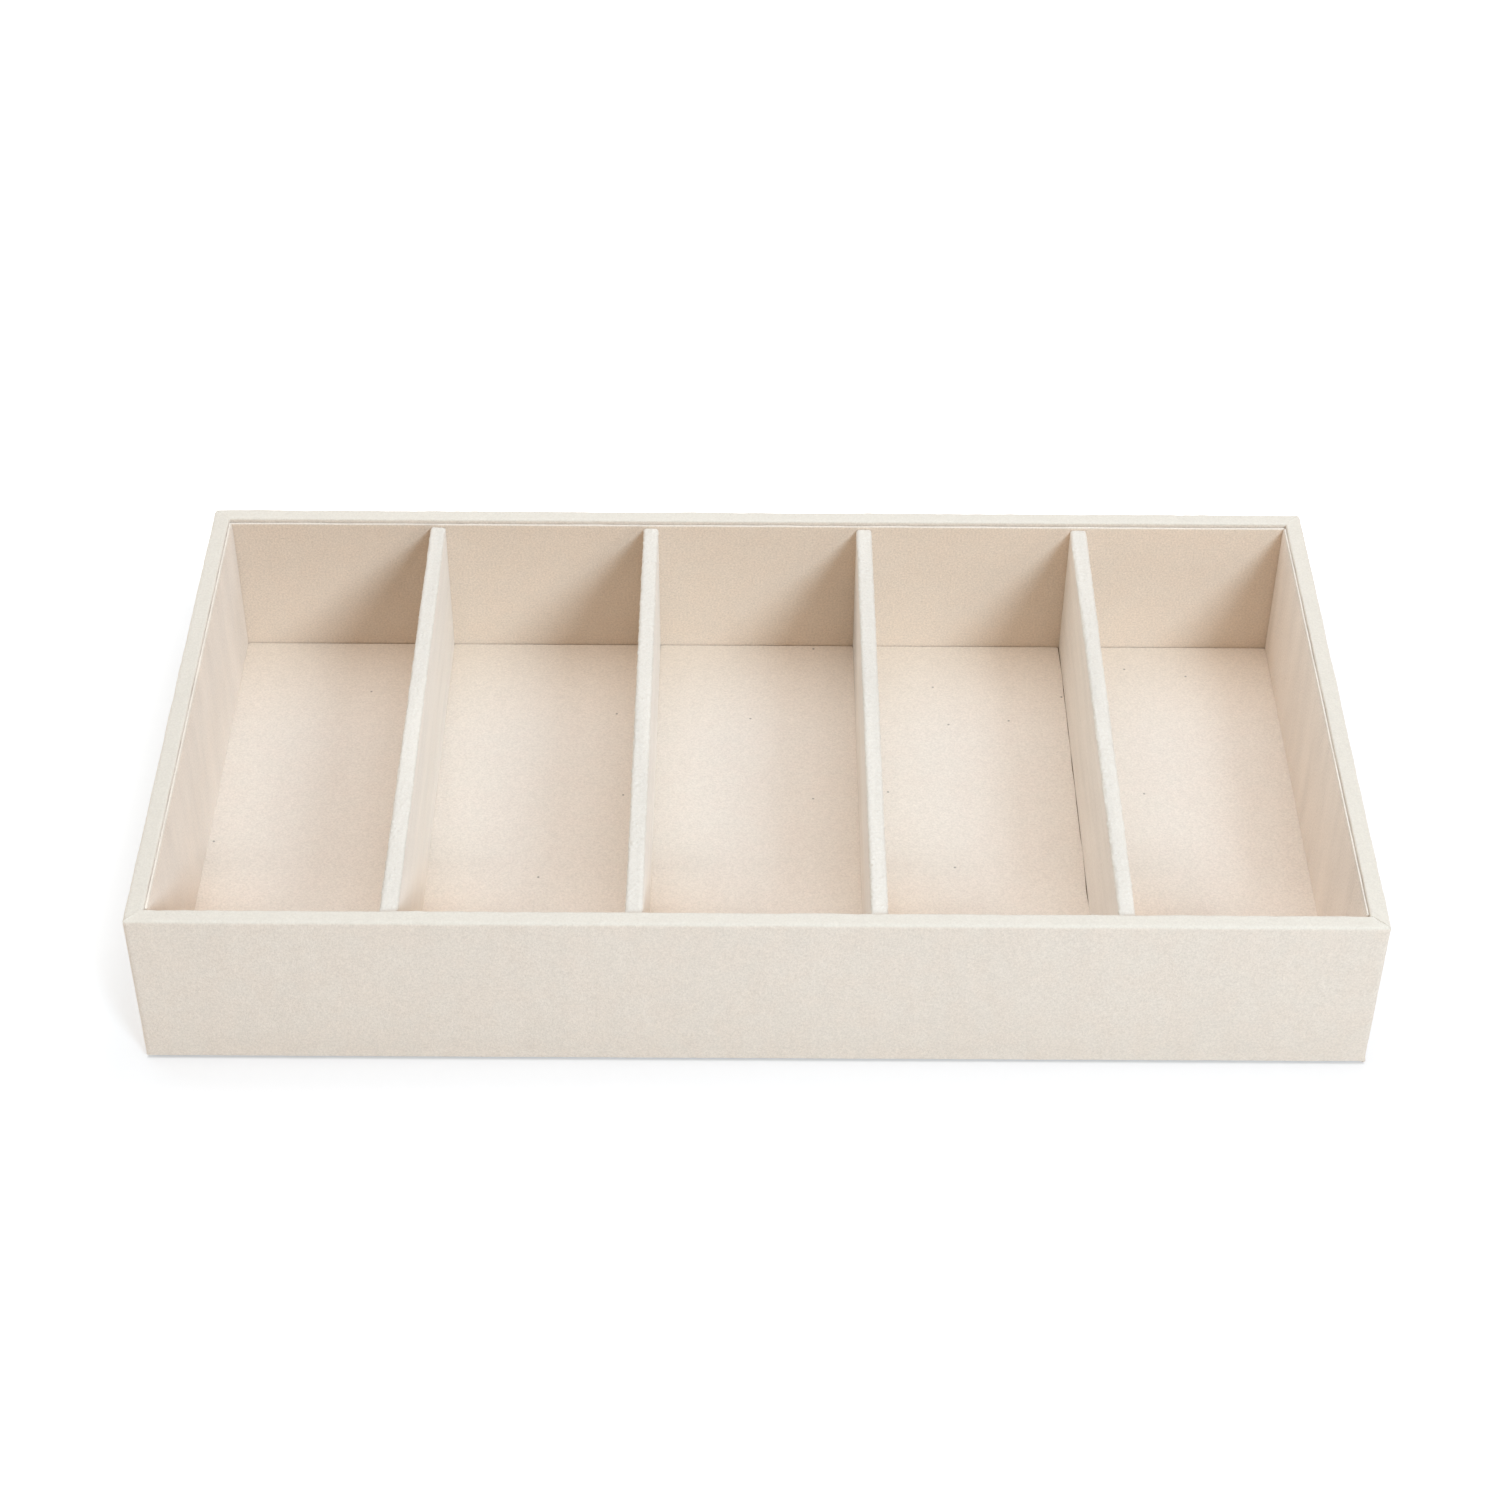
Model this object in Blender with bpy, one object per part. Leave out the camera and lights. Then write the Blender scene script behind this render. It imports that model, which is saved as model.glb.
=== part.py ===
"""Suede-covered glasses tray with five open compartments.

The tray is made as a covered box is made. Four mitred wall boards stand round a base board,
one suede skin covers their outside and is folded over the rim and under the foot, and thin
suede-covered panels line the walls and the floor. Four covered dividers stand between them.

Units are metres and +Z is up. +X runs along the long side, -Y is the front, and the origin
lies on the surface that the tray stands on, under the middle of the tray.
"""

import math

import bmesh
import bpy

# Overall size, over the suede
TRAY_LENGTH = 0.406
TRAY_DEPTH = 0.220
TRAY_HEIGHT = 0.0635
COMPARTMENTS = 5

# What touches is drawn this far apart: the room that the glue takes
GLUE_LINE = 0.0003

# Boards
WALL_BOARD = 0.0042
BASE_BOARD = 0.0020
REBATE_DEPTH = 0.0021
BOARD_CORNER_RADIUS = 0.0007
BOARD_EDGE_RADIUS = 0.0004

# The suede skin round the outside
SUEDE = 0.0006
TURN_IN = 0.015
TURN_UNDER = 0.012
MITRE_SLIT = 0.0004
UNCUT_CORNER = 0.0012

# Sheet that closes the underside
UNDERSIDE = 0.0004
UNDERSIDE_INSET = 0.004
UNDERSIDE_CORNER_RADIUS = 0.003

# Covered panels that line the walls
LINING = 0.0009
LINING_DROP = 0.0015
LINING_EDGE_RADIUS = 0.00025

# Covered panels on the floor
FLOOR_PAD = 0.0009
PAD_CORNER_RADIUS = 0.0012
PAD_EDGE_RADIUS = 0.00025

# Dividers
DIVIDER_CORE = 0.0036
DIVIDER_DROP = 0.00285
DIVIDER_CORE_RADIUS = 0.0003
DIVIDER_CORE_SHORT = 0.0006
DIVIDER_SEAM = 0.0005

# How far a cutter passes what it cuts
OVERRUN = 0.001

# Faces in each half of an upright corner, and in each fold
CORNER_STEPS = 2
FOLD_STEPS = 4

# Points closer than this are one point
SAME_POINT = 0.000001

HALF_LENGTH = TRAY_LENGTH / 2
HALF_DEPTH = TRAY_DEPTH / 2

# A skin and the glue behind it
COVER = SUEDE + GLUE_LINE

# Inward from the outside of the tray: the wall board, the rim and the lining
BOARD_OUTER = COVER
BOARD_INNER = BOARD_OUTER + WALL_BOARD
RIM = BOARD_INNER + COVER
LINING_OUTER = RIM + GLUE_LINE
LINING_INNER = LINING_OUTER + LINING

# The radii over the suede follow the board's
SKIN_CORNER_RADIUS = BOARD_CORNER_RADIUS + COVER
SKIN_FOLD_RADIUS = BOARD_EDGE_RADIUS + COVER

# Upward from the surface that the tray stands on
SKIN_FOOT = UNDERSIDE + GLUE_LINE
BOARD_FOOT = SKIN_FOOT + COVER
BASE_TOP = BOARD_FOOT + BASE_BOARD
REBATE_TOP = BASE_TOP + GLUE_LINE
FLOOR_FOOT = BASE_TOP + GLUE_LINE
FLOOR_TOP = FLOOR_FOOT + FLOOR_PAD
LINING_TOP = TRAY_HEIGHT - LINING_DROP
DIVIDER_TOP = TRAY_HEIGHT - DIVIDER_DROP

# The compartments share the inside of the lining with the dividers
DIVIDERS = COMPARTMENTS - 1
DIVIDER = DIVIDER_CORE + 2 * COVER
DIVIDER_RADIUS = DIVIDER_CORE_RADIUS + COVER
INSIDE_HALF_LENGTH = HALF_LENGTH - LINING_INNER
INSIDE_HALF_DEPTH = HALF_DEPTH - LINING_INNER
COMPARTMENT = (2 * INSIDE_HALF_LENGTH - DIVIDERS * DIVIDER) / COMPARTMENTS
DIVIDER_HALF_RUN = INSIDE_HALF_DEPTH - GLUE_LINE

# Each side of the tray by name: the way it faces, in degrees from +X
SIDES = {"front": -90, "right": 0, "back": 90, "left": 180}

RIGHT_ANGLE = math.pi / 2
MITRE_ANGLE = math.pi / 4


def clear_scene():
    """Remove every object, so that the script starts from an empty scene."""
    for item in list(bpy.data.objects):
        bpy.data.objects.remove(item, do_unlink=True)


def make_material(name, colour, roughness):
    """Principled material of one colour, not metallic."""
    material = bpy.data.materials.new(name)
    material.use_nodes = True
    shader = material.node_tree.nodes["Principled BSDF"]
    shader.inputs["Base Color"].default_value = (*colour, 1)
    shader.inputs["Roughness"].default_value = roughness
    shader.inputs["Metallic"].default_value = 0
    return material


def add_object(name, mesh, material, smooth=False):
    """Put a mesh into the scene as the named piece."""
    piece = bpy.data.objects.new(name, mesh)
    bpy.context.scene.collection.objects.link(piece)
    piece.data.materials.append(material)
    if smooth:
        mesh.shade_smooth()
        mesh.set_sharp_from_angle(angle=math.radians(40))
    return piece


def mesh_from(name, points, faces):
    """Mesh of the points and faces, with points that coincide made one."""
    mesh = bpy.data.meshes.new(name)
    mesh.from_pydata(points, [], faces)
    shape = bmesh.new()
    shape.from_mesh(mesh)
    bmesh.ops.remove_doubles(shape, verts=shape.verts, dist=SAME_POINT)
    bmesh.ops.recalc_face_normals(shape, faces=shape.faces)
    shape.to_mesh(mesh)
    shape.free()
    return mesh


def extrude_outline(name, outline, low, high):
    """Upright solid: an outline in the XY plane raised from one height to another."""
    count = len(outline)
    points = [(x, y, low) for x, y in outline] + [(x, y, high) for x, y in outline]
    faces = [tuple(range(count)), tuple(range(count, 2 * count))]
    for start in range(count):
        end = (start + 1) % count
        faces.append((start, end, end + count, start + count))
    return mesh_from(name, points, faces)


def rounded_corner(before, corner, after, radius):
    """Points of a quarter circle that rounds one right-angled corner of an outline."""
    if radius <= 0:
        return [corner]
    incoming = unit(before, corner)
    outgoing = unit(corner, after)
    points = []
    for step in range(FOLD_STEPS + 1):
        turn = RIGHT_ANGLE * step / FOLD_STEPS
        along = radius * (math.sin(turn) - 1)
        across = radius * (1 - math.cos(turn))
        points.append(tuple(corner[axis] + along * incoming[axis] + across * outgoing[axis]
                            for axis in (0, 1)))
    return points


def unit(start, end):
    """Unit vector from one point of a plane to another."""
    length = math.dist(start, end)
    return tuple((end[axis] - start[axis]) / length for axis in (0, 1))


def rounded_outline(corners, radii):
    """Closed outline with each right-angled corner rounded to its own radius."""
    points = []
    for index, corner in enumerate(corners):
        before = corners[index - 1]
        after = corners[(index + 1) % len(corners)]
        points.extend(rounded_corner(before, corner, after, radii[index]))
    return points


def rounded_rectangle(half_x, half_y, radius, middle_x=0):
    """Outline of an upright rectangle's plan with rounded corners."""
    corners = [(middle_x - half_x, -half_y), (middle_x + half_x, -half_y),
               (middle_x + half_x, half_y), (middle_x - half_x, half_y)]
    return rounded_outline(corners, [radius] * len(corners))


def side_run(half_run, half_reach, inward, corner_radius, setback):
    """Path along one side of the tray, from mitre to mitre, at a distance inward.

    u runs along the side and v points outward. The path is straight, and turns at each end
    round the upright corner until it meets the mitre, which is set back by the given amount.
    """
    radius = corner_radius - inward
    right_end = []
    for step in range(CORNER_STEPS + 1):
        if radius * math.sin(MITRE_ANGLE) > setback:
            last = MITRE_ANGLE + math.asin(setback / radius)
            angle = RIGHT_ANGLE + (last - RIGHT_ANGLE) * step / CORNER_STEPS
            u = half_run - corner_radius + radius * math.cos(angle)
            v = half_reach - corner_radius + radius * math.sin(angle)
        else:
            u = half_run - inward - setback * math.sqrt(2)
            v = half_reach - inward
        right_end.append((u, v))
    left_end = [(-u, v) for u, v in reversed(right_end)]
    return left_end + right_end


def side_size(facing):
    """Half the run of a side, and its distance from the middle of the tray."""
    if facing in (SIDES["front"], SIDES["back"]):
        return HALF_LENGTH, HALF_DEPTH
    return HALF_DEPTH, HALF_LENGTH


def on_side(facing, u, v, height):
    """Point in the tray from its place along and out from the middle of a side."""
    angle = math.radians(facing)
    x = v * math.cos(angle) - u * math.sin(angle)
    y = v * math.sin(angle) + u * math.cos(angle)
    return (x, y, height)


def skin_section():
    """Section of the skin as (inward, height) points, from the foot over the rim.

    The suede runs from its turned-under edge out to the foot of the wall, up the outside,
    over the rim and down behind the lining. The way back is the same line, one thickness in.
    """
    outside = [(TURN_UNDER, SKIN_FOOT), (0, SKIN_FOOT), (0, TRAY_HEIGHT),
               (RIM, TRAY_HEIGHT), (RIM, TRAY_HEIGHT - TURN_IN)]
    inside = [(RIM - SUEDE, TRAY_HEIGHT - TURN_IN), (RIM - SUEDE, TRAY_HEIGHT - SUEDE),
              (SUEDE, TRAY_HEIGHT - SUEDE), (SUEDE, SKIN_FOOT + SUEDE),
              (TURN_UNDER, SKIN_FOOT + SUEDE)]
    outer = SKIN_FOLD_RADIUS
    inner = SKIN_FOLD_RADIUS - SUEDE
    radii = [0, outer, outer, outer, 0, 0, inner, inner, inner, 0]
    return rounded_outline(outside + inside, radii)


def board_section():
    """Section of a wall board as (inward, height) points, with the rebate at its foot."""
    top = TRAY_HEIGHT - COVER
    rebate = BOARD_INNER - REBATE_DEPTH
    corners = [(BOARD_OUTER, BOARD_FOOT), (BOARD_OUTER, top), (BOARD_INNER, top),
               (BOARD_INNER, REBATE_TOP), (rebate, REBATE_TOP), (rebate, BOARD_FOOT)]
    edge = BOARD_EDGE_RADIUS
    return rounded_outline(corners, [edge, edge, edge, 0, 0, 0])


def make_wall_board(side, material):
    """Wall board of one side, mitred at both ends and rebated for the base board."""
    facing = SIDES[side]
    half_run, half_reach = side_size(facing)
    section = board_section()
    points = []
    for inward, height in section:
        run = side_run(half_run, half_reach, inward, SKIN_CORNER_RADIUS, GLUE_LINE / 2)
        points.extend(on_side(facing, u, v, height) for u, v in run)
    width = len(points) // len(section)
    faces = []
    for row in range(len(section)):
        here = row * width
        there = (row + 1) % len(section) * width
        for step in range(width - 1):
            faces.append((here + step, here + step + 1, there + step + 1, there + step))
    ends = [tuple(row * width + end for row in range(len(section))) for end in (0, width - 1)]
    mesh = mesh_from(side + "_wall_board", points, faces + ends)
    return add_object(side + "_wall_board", mesh, material)


def make_base_board(material):
    """Plain board under the floor, held in the rebate of the four walls."""
    margin = BOARD_INNER - REBATE_DEPTH + GLUE_LINE
    outline = rounded_rectangle(HALF_LENGTH - margin, HALF_DEPTH - margin, 0)
    mesh = extrude_outline("base_board", outline, BOARD_FOOT, BASE_TOP)
    return add_object("base_board", mesh, material)


def make_outer_wrap(material):
    """Skin in one strip: its section carried round the four sides, then cut at the corners.

    The rim and the foot are slit along the mitre at three corners, and at the back left one
    the cut goes right through, where the two ends of the strip meet in an upright seam.
    """
    section = skin_section()
    points = []
    for inward, height in section:
        for facing in SIDES.values():
            half_run, half_reach = side_size(facing)
            run = side_run(half_run, half_reach, inward, SKIN_CORNER_RADIUS, 0)
            points.extend(on_side(facing, u, v, height) for u, v in run[:-1])
    around = len(points) // len(section)
    faces = []
    for row in range(len(section)):
        here = row * around
        there = (row + 1) % len(section) * around
        for step in range(around):
            after = (step + 1) % around
            faces.append((here + step, here + after, there + after, there + step))
    mesh = mesh_from("outer_wrap", points, faces)
    wrap = add_object("outer_wrap", mesh, material, smooth=True)
    rim_slit = (UNCUT_CORNER, RIM + OVERRUN,
                TRAY_HEIGHT - TURN_IN - OVERRUN, TRAY_HEIGHT + OVERRUN)
    foot_slit = (UNCUT_CORNER, TURN_UNDER + OVERRUN,
                 SKIN_FOOT - OVERRUN, SKIN_FOOT + SUEDE + OVERRUN)
    seam = (-OVERRUN, TURN_UNDER + OVERRUN, SKIN_FOOT - OVERRUN, TRAY_HEIGHT + OVERRUN)
    for across, deep in ((-1, -1), (1, -1), (1, 1)):
        cut_with(wrap, mitre_cutter(across, deep, *rim_slit))
        cut_with(wrap, mitre_cutter(across, deep, *foot_slit))
    cut_with(wrap, mitre_cutter(-1, 1, *seam))
    return wrap


def mitre_cutter(across, deep, near, far, low, high):
    """Thin upright plate on the mitre line of one corner, from near to far inward."""
    half = MITRE_SLIT / 2 * math.sin(MITRE_ANGLE)
    outline = []
    for inward, turn in ((near, -1), (near, 1), (far, 1), (far, -1)):
        x = across * (HALF_LENGTH - inward + turn * half)
        y = deep * (HALF_DEPTH - inward - turn * half)
        outline.append((x, y))
    mesh = extrude_outline("mitre_cutter", outline, low, high)
    cutter = bpy.data.objects.new("mitre_cutter", mesh)
    bpy.context.scene.collection.objects.link(cutter)
    cutter.hide_render = True
    cutter.display_type = "WIRE"
    return cutter


def cut_with(piece, cutter):
    """Cut one piece with a cutter by a live Boolean."""
    cut = piece.modifiers.new(cutter.name, "BOOLEAN")
    cut.operation = "DIFFERENCE"
    cut.solver = "EXACT"
    cut.object = cutter


def soften_edges(piece, radius):
    """Round all edges of a covered panel, where the suede is turned round the card."""
    bevel = piece.modifiers.new("turned edges", "BEVEL")
    bevel.width = radius
    bevel.segments = 2
    bevel.limit_method = "ANGLE"
    bevel.angle_limit = math.radians(60)


def make_lining(side, material):
    """Covered panel on one wall. The front and back panels run past the side panels."""
    facing = SIDES[side]
    half_run, half_reach = side_size(facing)
    if side in ("front", "back"):
        half_panel = half_run - LINING_OUTER
    else:
        half_panel = half_run - LINING_INNER - GLUE_LINE
    corners = [(-half_panel, half_reach - LINING_OUTER), (half_panel, half_reach - LINING_OUTER),
               (half_panel, half_reach - LINING_INNER), (-half_panel, half_reach - LINING_INNER)]
    outline = [on_side(facing, u, v, 0)[:2] for u, v in corners]
    mesh = extrude_outline(side + "_lining", outline, FLOOR_FOOT, LINING_TOP)
    panel = add_object(side + "_lining", mesh, material)
    soften_edges(panel, min(LINING_EDGE_RADIUS, LINING / 3))
    return panel


def compartment_middle(number):
    """X of the middle of a compartment, counted from 1 on the left."""
    pitch = COMPARTMENT + DIVIDER
    return -INSIDE_HALF_LENGTH + COMPARTMENT / 2 + (number - 1) * pitch


def make_floor_pad(number, material):
    """Covered panel on the floor of one compartment."""
    name = f"floor_pad_{number}"
    outline = rounded_rectangle(COMPARTMENT / 2 - GLUE_LINE, INSIDE_HALF_DEPTH - GLUE_LINE,
                                PAD_CORNER_RADIUS, compartment_middle(number))
    mesh = extrude_outline(name, outline, FLOOR_FOOT, FLOOR_TOP)
    pad = add_object(name, mesh, material)
    soften_edges(pad, min(PAD_EDGE_RADIUS, FLOOR_PAD / 3))
    return pad


def extrude_along_y(name, section, middle_x, half_run):
    """Solid with a section in the XZ plane, carried along Y on both sides of the middle."""
    count = len(section)
    points = [(middle_x + x, -half_run, z) for x, z in section]
    points += [(middle_x + x, half_run, z) for x, z in section]
    faces = [tuple(range(count)), tuple(range(count, 2 * count))]
    for start in range(count):
        end = (start + 1) % count
        faces.append((start, end, end + count, start + count))
    return mesh_from(name, points, faces)


def divider_middle(number):
    """X of the middle of a divider, counted from 1 on the left."""
    return compartment_middle(number) + (COMPARTMENT + DIVIDER) / 2


def make_divider_core(number, material):
    """Board inside a divider, with its top edges eased, a little shorter than its suede."""
    name = f"divider_core_{number}"
    half = DIVIDER_CORE / 2
    foot = FLOOR_FOOT + COVER
    top = DIVIDER_TOP - COVER
    corners = [(-half, foot), (half, foot), (half, top), (-half, top)]
    ease = DIVIDER_CORE_RADIUS
    section = rounded_outline(corners, [0, 0, ease, ease])
    mesh = extrude_along_y(name, section, divider_middle(number),
                           DIVIDER_HALF_RUN - DIVIDER_CORE_SHORT)
    return add_object(name, mesh, material)


def make_divider_wrap(number, material):
    """Suede round a divider: up one face, over the top, down the other, in under the foot."""
    name = f"divider_wrap_{number}"
    half = DIVIDER / 2
    seam = DIVIDER_SEAM / 2
    foot = FLOOR_FOOT
    inner_half = half - SUEDE
    inner_foot = foot + SUEDE
    inner_top = DIVIDER_TOP - SUEDE
    outside = [(-seam, foot), (-half, foot), (-half, DIVIDER_TOP), (half, DIVIDER_TOP),
               (half, foot), (seam, foot)]
    inside = [(seam, inner_foot), (inner_half, inner_foot), (inner_half, inner_top),
              (-inner_half, inner_top), (-inner_half, inner_foot), (-seam, inner_foot)]
    outer = DIVIDER_RADIUS
    inner = DIVIDER_RADIUS - SUEDE
    fold = SUEDE
    radii = [0, fold, outer, outer, fold, 0, 0, 0, inner, inner, 0, 0]
    section = rounded_outline(outside + inside, radii)
    mesh = extrude_along_y(name, section, divider_middle(number), DIVIDER_HALF_RUN)
    return add_object(name, mesh, material, smooth=True)


def make_underside_lining(material):
    """Flat sheet that closes the underside. The tray stands on it."""
    outline = rounded_rectangle(HALF_LENGTH - UNDERSIDE_INSET, HALF_DEPTH - UNDERSIDE_INSET,
                                UNDERSIDE_CORNER_RADIUS)
    mesh = extrude_outline("underside_lining", outline, 0, UNDERSIDE)
    return add_object("underside_lining", mesh, material)


def main():
    """Build the tray from the boards outward."""
    clear_scene()
    board = make_material("board", (0.45, 0.31, 0.19), 0.8)
    outer_suede = make_material("outer_suede", (0.80, 0.75, 0.67), 0.95)
    lining_suede = make_material("lining_suede", (0.77, 0.70, 0.61), 0.95)
    divider_suede = make_material("divider_suede", (0.83, 0.79, 0.71), 0.95)
    underside_cloth = make_material("underside_cloth", (0.72, 0.66, 0.57), 0.95)

    make_base_board(board)
    for side in SIDES:
        make_wall_board(side, board)
    make_outer_wrap(outer_suede)
    make_underside_lining(underside_cloth)
    for side in SIDES:
        make_lining(side, lining_suede)
    for number in range(1, COMPARTMENTS + 1):
        make_floor_pad(number, lining_suede)
    for number in range(1, DIVIDERS + 1):
        make_divider_core(number, board)
        make_divider_wrap(number, divider_suede)


main()
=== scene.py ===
"""Looks of the suede-covered glasses tray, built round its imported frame.

The frame's boards stay, with a fibreboard finish. Every suede piece is made again as a fine
surface: the wrap with its folds and mitred corners, the covered panels on the walls and the
floor, the dividers with their napped edges, and the cloth under the tray. Units are metres.
"""

import logging
from dataclasses import dataclass
from enum import Enum
from math import cos, pi, radians, sin, sqrt

import bpy
import numpy as np
from mathutils import Matrix, Vector


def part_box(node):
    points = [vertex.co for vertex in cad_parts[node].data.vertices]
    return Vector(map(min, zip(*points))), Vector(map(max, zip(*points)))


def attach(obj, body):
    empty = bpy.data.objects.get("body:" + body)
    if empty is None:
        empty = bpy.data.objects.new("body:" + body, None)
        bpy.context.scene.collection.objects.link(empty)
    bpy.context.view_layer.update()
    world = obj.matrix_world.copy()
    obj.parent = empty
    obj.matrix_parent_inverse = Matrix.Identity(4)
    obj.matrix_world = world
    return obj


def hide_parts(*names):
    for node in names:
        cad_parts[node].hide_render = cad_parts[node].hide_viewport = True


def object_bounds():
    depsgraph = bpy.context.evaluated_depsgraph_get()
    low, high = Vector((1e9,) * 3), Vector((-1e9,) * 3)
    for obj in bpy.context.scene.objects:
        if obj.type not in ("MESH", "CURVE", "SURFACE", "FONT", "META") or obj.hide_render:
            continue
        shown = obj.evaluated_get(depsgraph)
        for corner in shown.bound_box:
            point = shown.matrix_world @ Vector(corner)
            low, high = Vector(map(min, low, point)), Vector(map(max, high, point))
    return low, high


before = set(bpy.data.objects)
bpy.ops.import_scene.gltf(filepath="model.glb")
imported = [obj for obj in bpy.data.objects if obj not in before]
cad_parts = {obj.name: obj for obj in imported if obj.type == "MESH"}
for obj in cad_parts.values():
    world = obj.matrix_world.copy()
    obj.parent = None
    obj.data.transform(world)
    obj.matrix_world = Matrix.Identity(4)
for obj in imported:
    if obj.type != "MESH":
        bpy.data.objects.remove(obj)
cad_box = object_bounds()

Triple = tuple[float, float, float]
Span = tuple[float, float]

BODY = "root"
MILLIMETRE = 0.001
TINY = 1e-12
# Attribute of painted light and shade: what a piece's colour is scaled by.
PAINTED_SHADE = "shade"
# Attribute of a painted tint of light: how far a piece's colour turns to a paler, cooler or warmer
# one.
PAINTED_TINT = "painted_tint"
WHITE: Triple = (1.0, 1.0, 1.0)
SHARP_ANGLE = radians(50)
HIDDEN_STEP = 0.02
HIDDEN_ARC_STEPS = 2
COMPARTMENTS = 5
FIRST_COLOUR = 6
SECOND_COLOUR = 7
MIXED_COLOUR = 2

log = logging.getLogger("glasses_tray")


class Side(Enum):
    """A side of the tray, by the angle that it faces, in degrees from +X."""

    FRONT = -90
    RIGHT = 0
    BACK = 90
    LEFT = 180

    @property
    def word(self) -> str:
        """The side's name as the frame's nodes have it."""
        return self.name.lower()

    @property
    def run(self) -> int:
        """The axis that the side runs along: 0 for X, 1 for Y."""
        return 0 if self in (Side.FRONT, Side.BACK) else 1


class Slot(Enum):
    """The record's material slots, one for each kind of new piece."""

    OUTER_SUEDE = "outer_suede"
    LINING_SUEDE = "lining_suede"
    DIVIDER_SUEDE = "divider_suede"
    UNDERSIDE_CLOTH = "underside_cloth"


@dataclass(frozen=True)
class Unevenness:
    """Smooth, repeatable unevenness of a hand-covered surface.

    The height at a point is a sum of plane waves, each with its own direction, phase and a
    length between the shortest and the longest, scaled so that it mostly stays within 1.
    """

    seed: int
    shortest: float
    longest: float
    waves: int = 28

    def at(self, points: np.ndarray, piece: int = 0) -> np.ndarray:
        """Height at each point.

        Args:
            points: Array whose last axis holds x, y and z.
            piece: The piece's number, added to the seed so that each piece has its own waves.

        Returns:
            Array of heights, one for each point.
        """
        draw = np.random.default_rng(self.seed + piece)
        away = draw.normal(size=(self.waves, 3))
        away /= np.linalg.norm(away, axis=1, keepdims=True)
        length = self.shortest * (self.longest / self.shortest) ** draw.random(self.waves)
        vectors = away * (2 * pi / length)[:, None]
        phases = draw.random(self.waves) * 2 * pi
        return np.cos(points @ vectors.T + phases).sum(axis=-1) * sqrt(1 / self.waves)


def ramp(values: np.ndarray, start: float, end: float) -> np.ndarray:
    """0 up to the start, 1 from the end on, straight between; the end may be the lower one."""
    return np.clip((values - start) / (end - start), 0, 1)


def bell(distance: np.ndarray, width: float) -> np.ndarray:
    """Gaussian of a distance: 1 at none, and 1/e at the width."""
    return np.exp(-(distance / width) ** 2)


def round_off(radius: float, to_end: np.ndarray) -> np.ndarray:
    """How far an edge that is rounded by a quarter circle falls back, by distance from its end."""
    past = np.maximum(radius - to_end, 0)
    return radius - np.sqrt(np.maximum(radius ** 2 - past ** 2, 0))


def node_box(name: str) -> tuple[np.ndarray, np.ndarray]:
    """The low and the high corner of a node of the frame, as arrays."""
    low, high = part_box(name)
    return np.array(low), np.array(high)


def node_names(start: str) -> list[str]:
    """The frame's nodes whose names have this start, in the order of their names."""
    return sorted(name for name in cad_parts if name.startswith(start))


def surface_normals(grid: np.ndarray, closed_rows: bool) -> np.ndarray:
    """Unit normals of a grid whose columns close: the cross product of its two tangents.

    Args:
        grid: Points, as rows x columns x 3.
        closed_rows: Whether the last row meets the first.

    Returns:
        Unit normals in the same layout.
    """
    along = np.roll(grid, -1, 0) - np.roll(grid, 1, 0)
    if not closed_rows:
        along[0] = grid[1] - grid[0]
        along[-1] = grid[-1] - grid[-2]
    around = np.roll(grid, -1, 1) - np.roll(grid, 1, 1)
    normal = np.cross(around, along)
    return normal / np.maximum(np.linalg.norm(normal, axis=-1, keepdims=True), TINY)


def facing(grid: np.ndarray, normal: np.ndarray) -> int:
    """1 if the normals, summed along the ways out from the middle, point outward, else -1."""
    away = grid - grid.reshape(-1, 3).mean(axis=0)
    return 1 if (normal * away).sum() > 0 else -1


def outward(grid: np.ndarray) -> np.ndarray:
    """The same rings, reversed if their faces would point inward."""
    return grid[:, ::facing(grid, surface_normals(grid, closed_rows=False))]


def loft(name: str, rings: np.ndarray, shade: np.ndarray | float = 1.0,
         painted_tint: np.ndarray | float = 0.0, closed: bool = False) -> bpy.types.Object:
    """Closed solid from a row of closed rings, each joined to the next by four-sided faces.

    Args:
        name: The piece's name.
        rings: Points, as rings x points x 3.
        shade: What the colour is scaled by, at each point or everywhere: painted light and shade.
        painted_tint: How much the painted tint of light shows, at each point or everywhere.
        closed: Whether the last ring meets the first; otherwise both ends get a flat cap.

    Returns:
        The new object.
    """
    count, width = rings.shape[:2]
    index = np.arange(count * width).reshape(count, width)
    here = index if closed else index[:-1]
    there = np.roll(index, -1, 0) if closed else index[1:]
    quads = np.stack([here, np.roll(here, -1, 1), np.roll(there, -1, 1), there], -1)
    corners = [quads.reshape(-1)]
    totals = [np.full(quads.shape[0] * quads.shape[1], 4)]
    if not closed:
        corners += [index[0][::-1], index[-1]]
        totals.append(np.array([width, width]))
    piece = mesh_object(name, rings.reshape(-1, 3), np.concatenate(corners),
                        np.concatenate(totals))
    for label, values in ((PAINTED_SHADE, shade), (PAINTED_TINT, painted_tint)):
        layer = piece.data.attributes.new(label, "FLOAT", "POINT")
        everywhere = np.broadcast_to(values, (count, width))
        layer.data.foreach_set("value", everywhere.astype(np.float32).ravel())
    return piece


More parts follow.
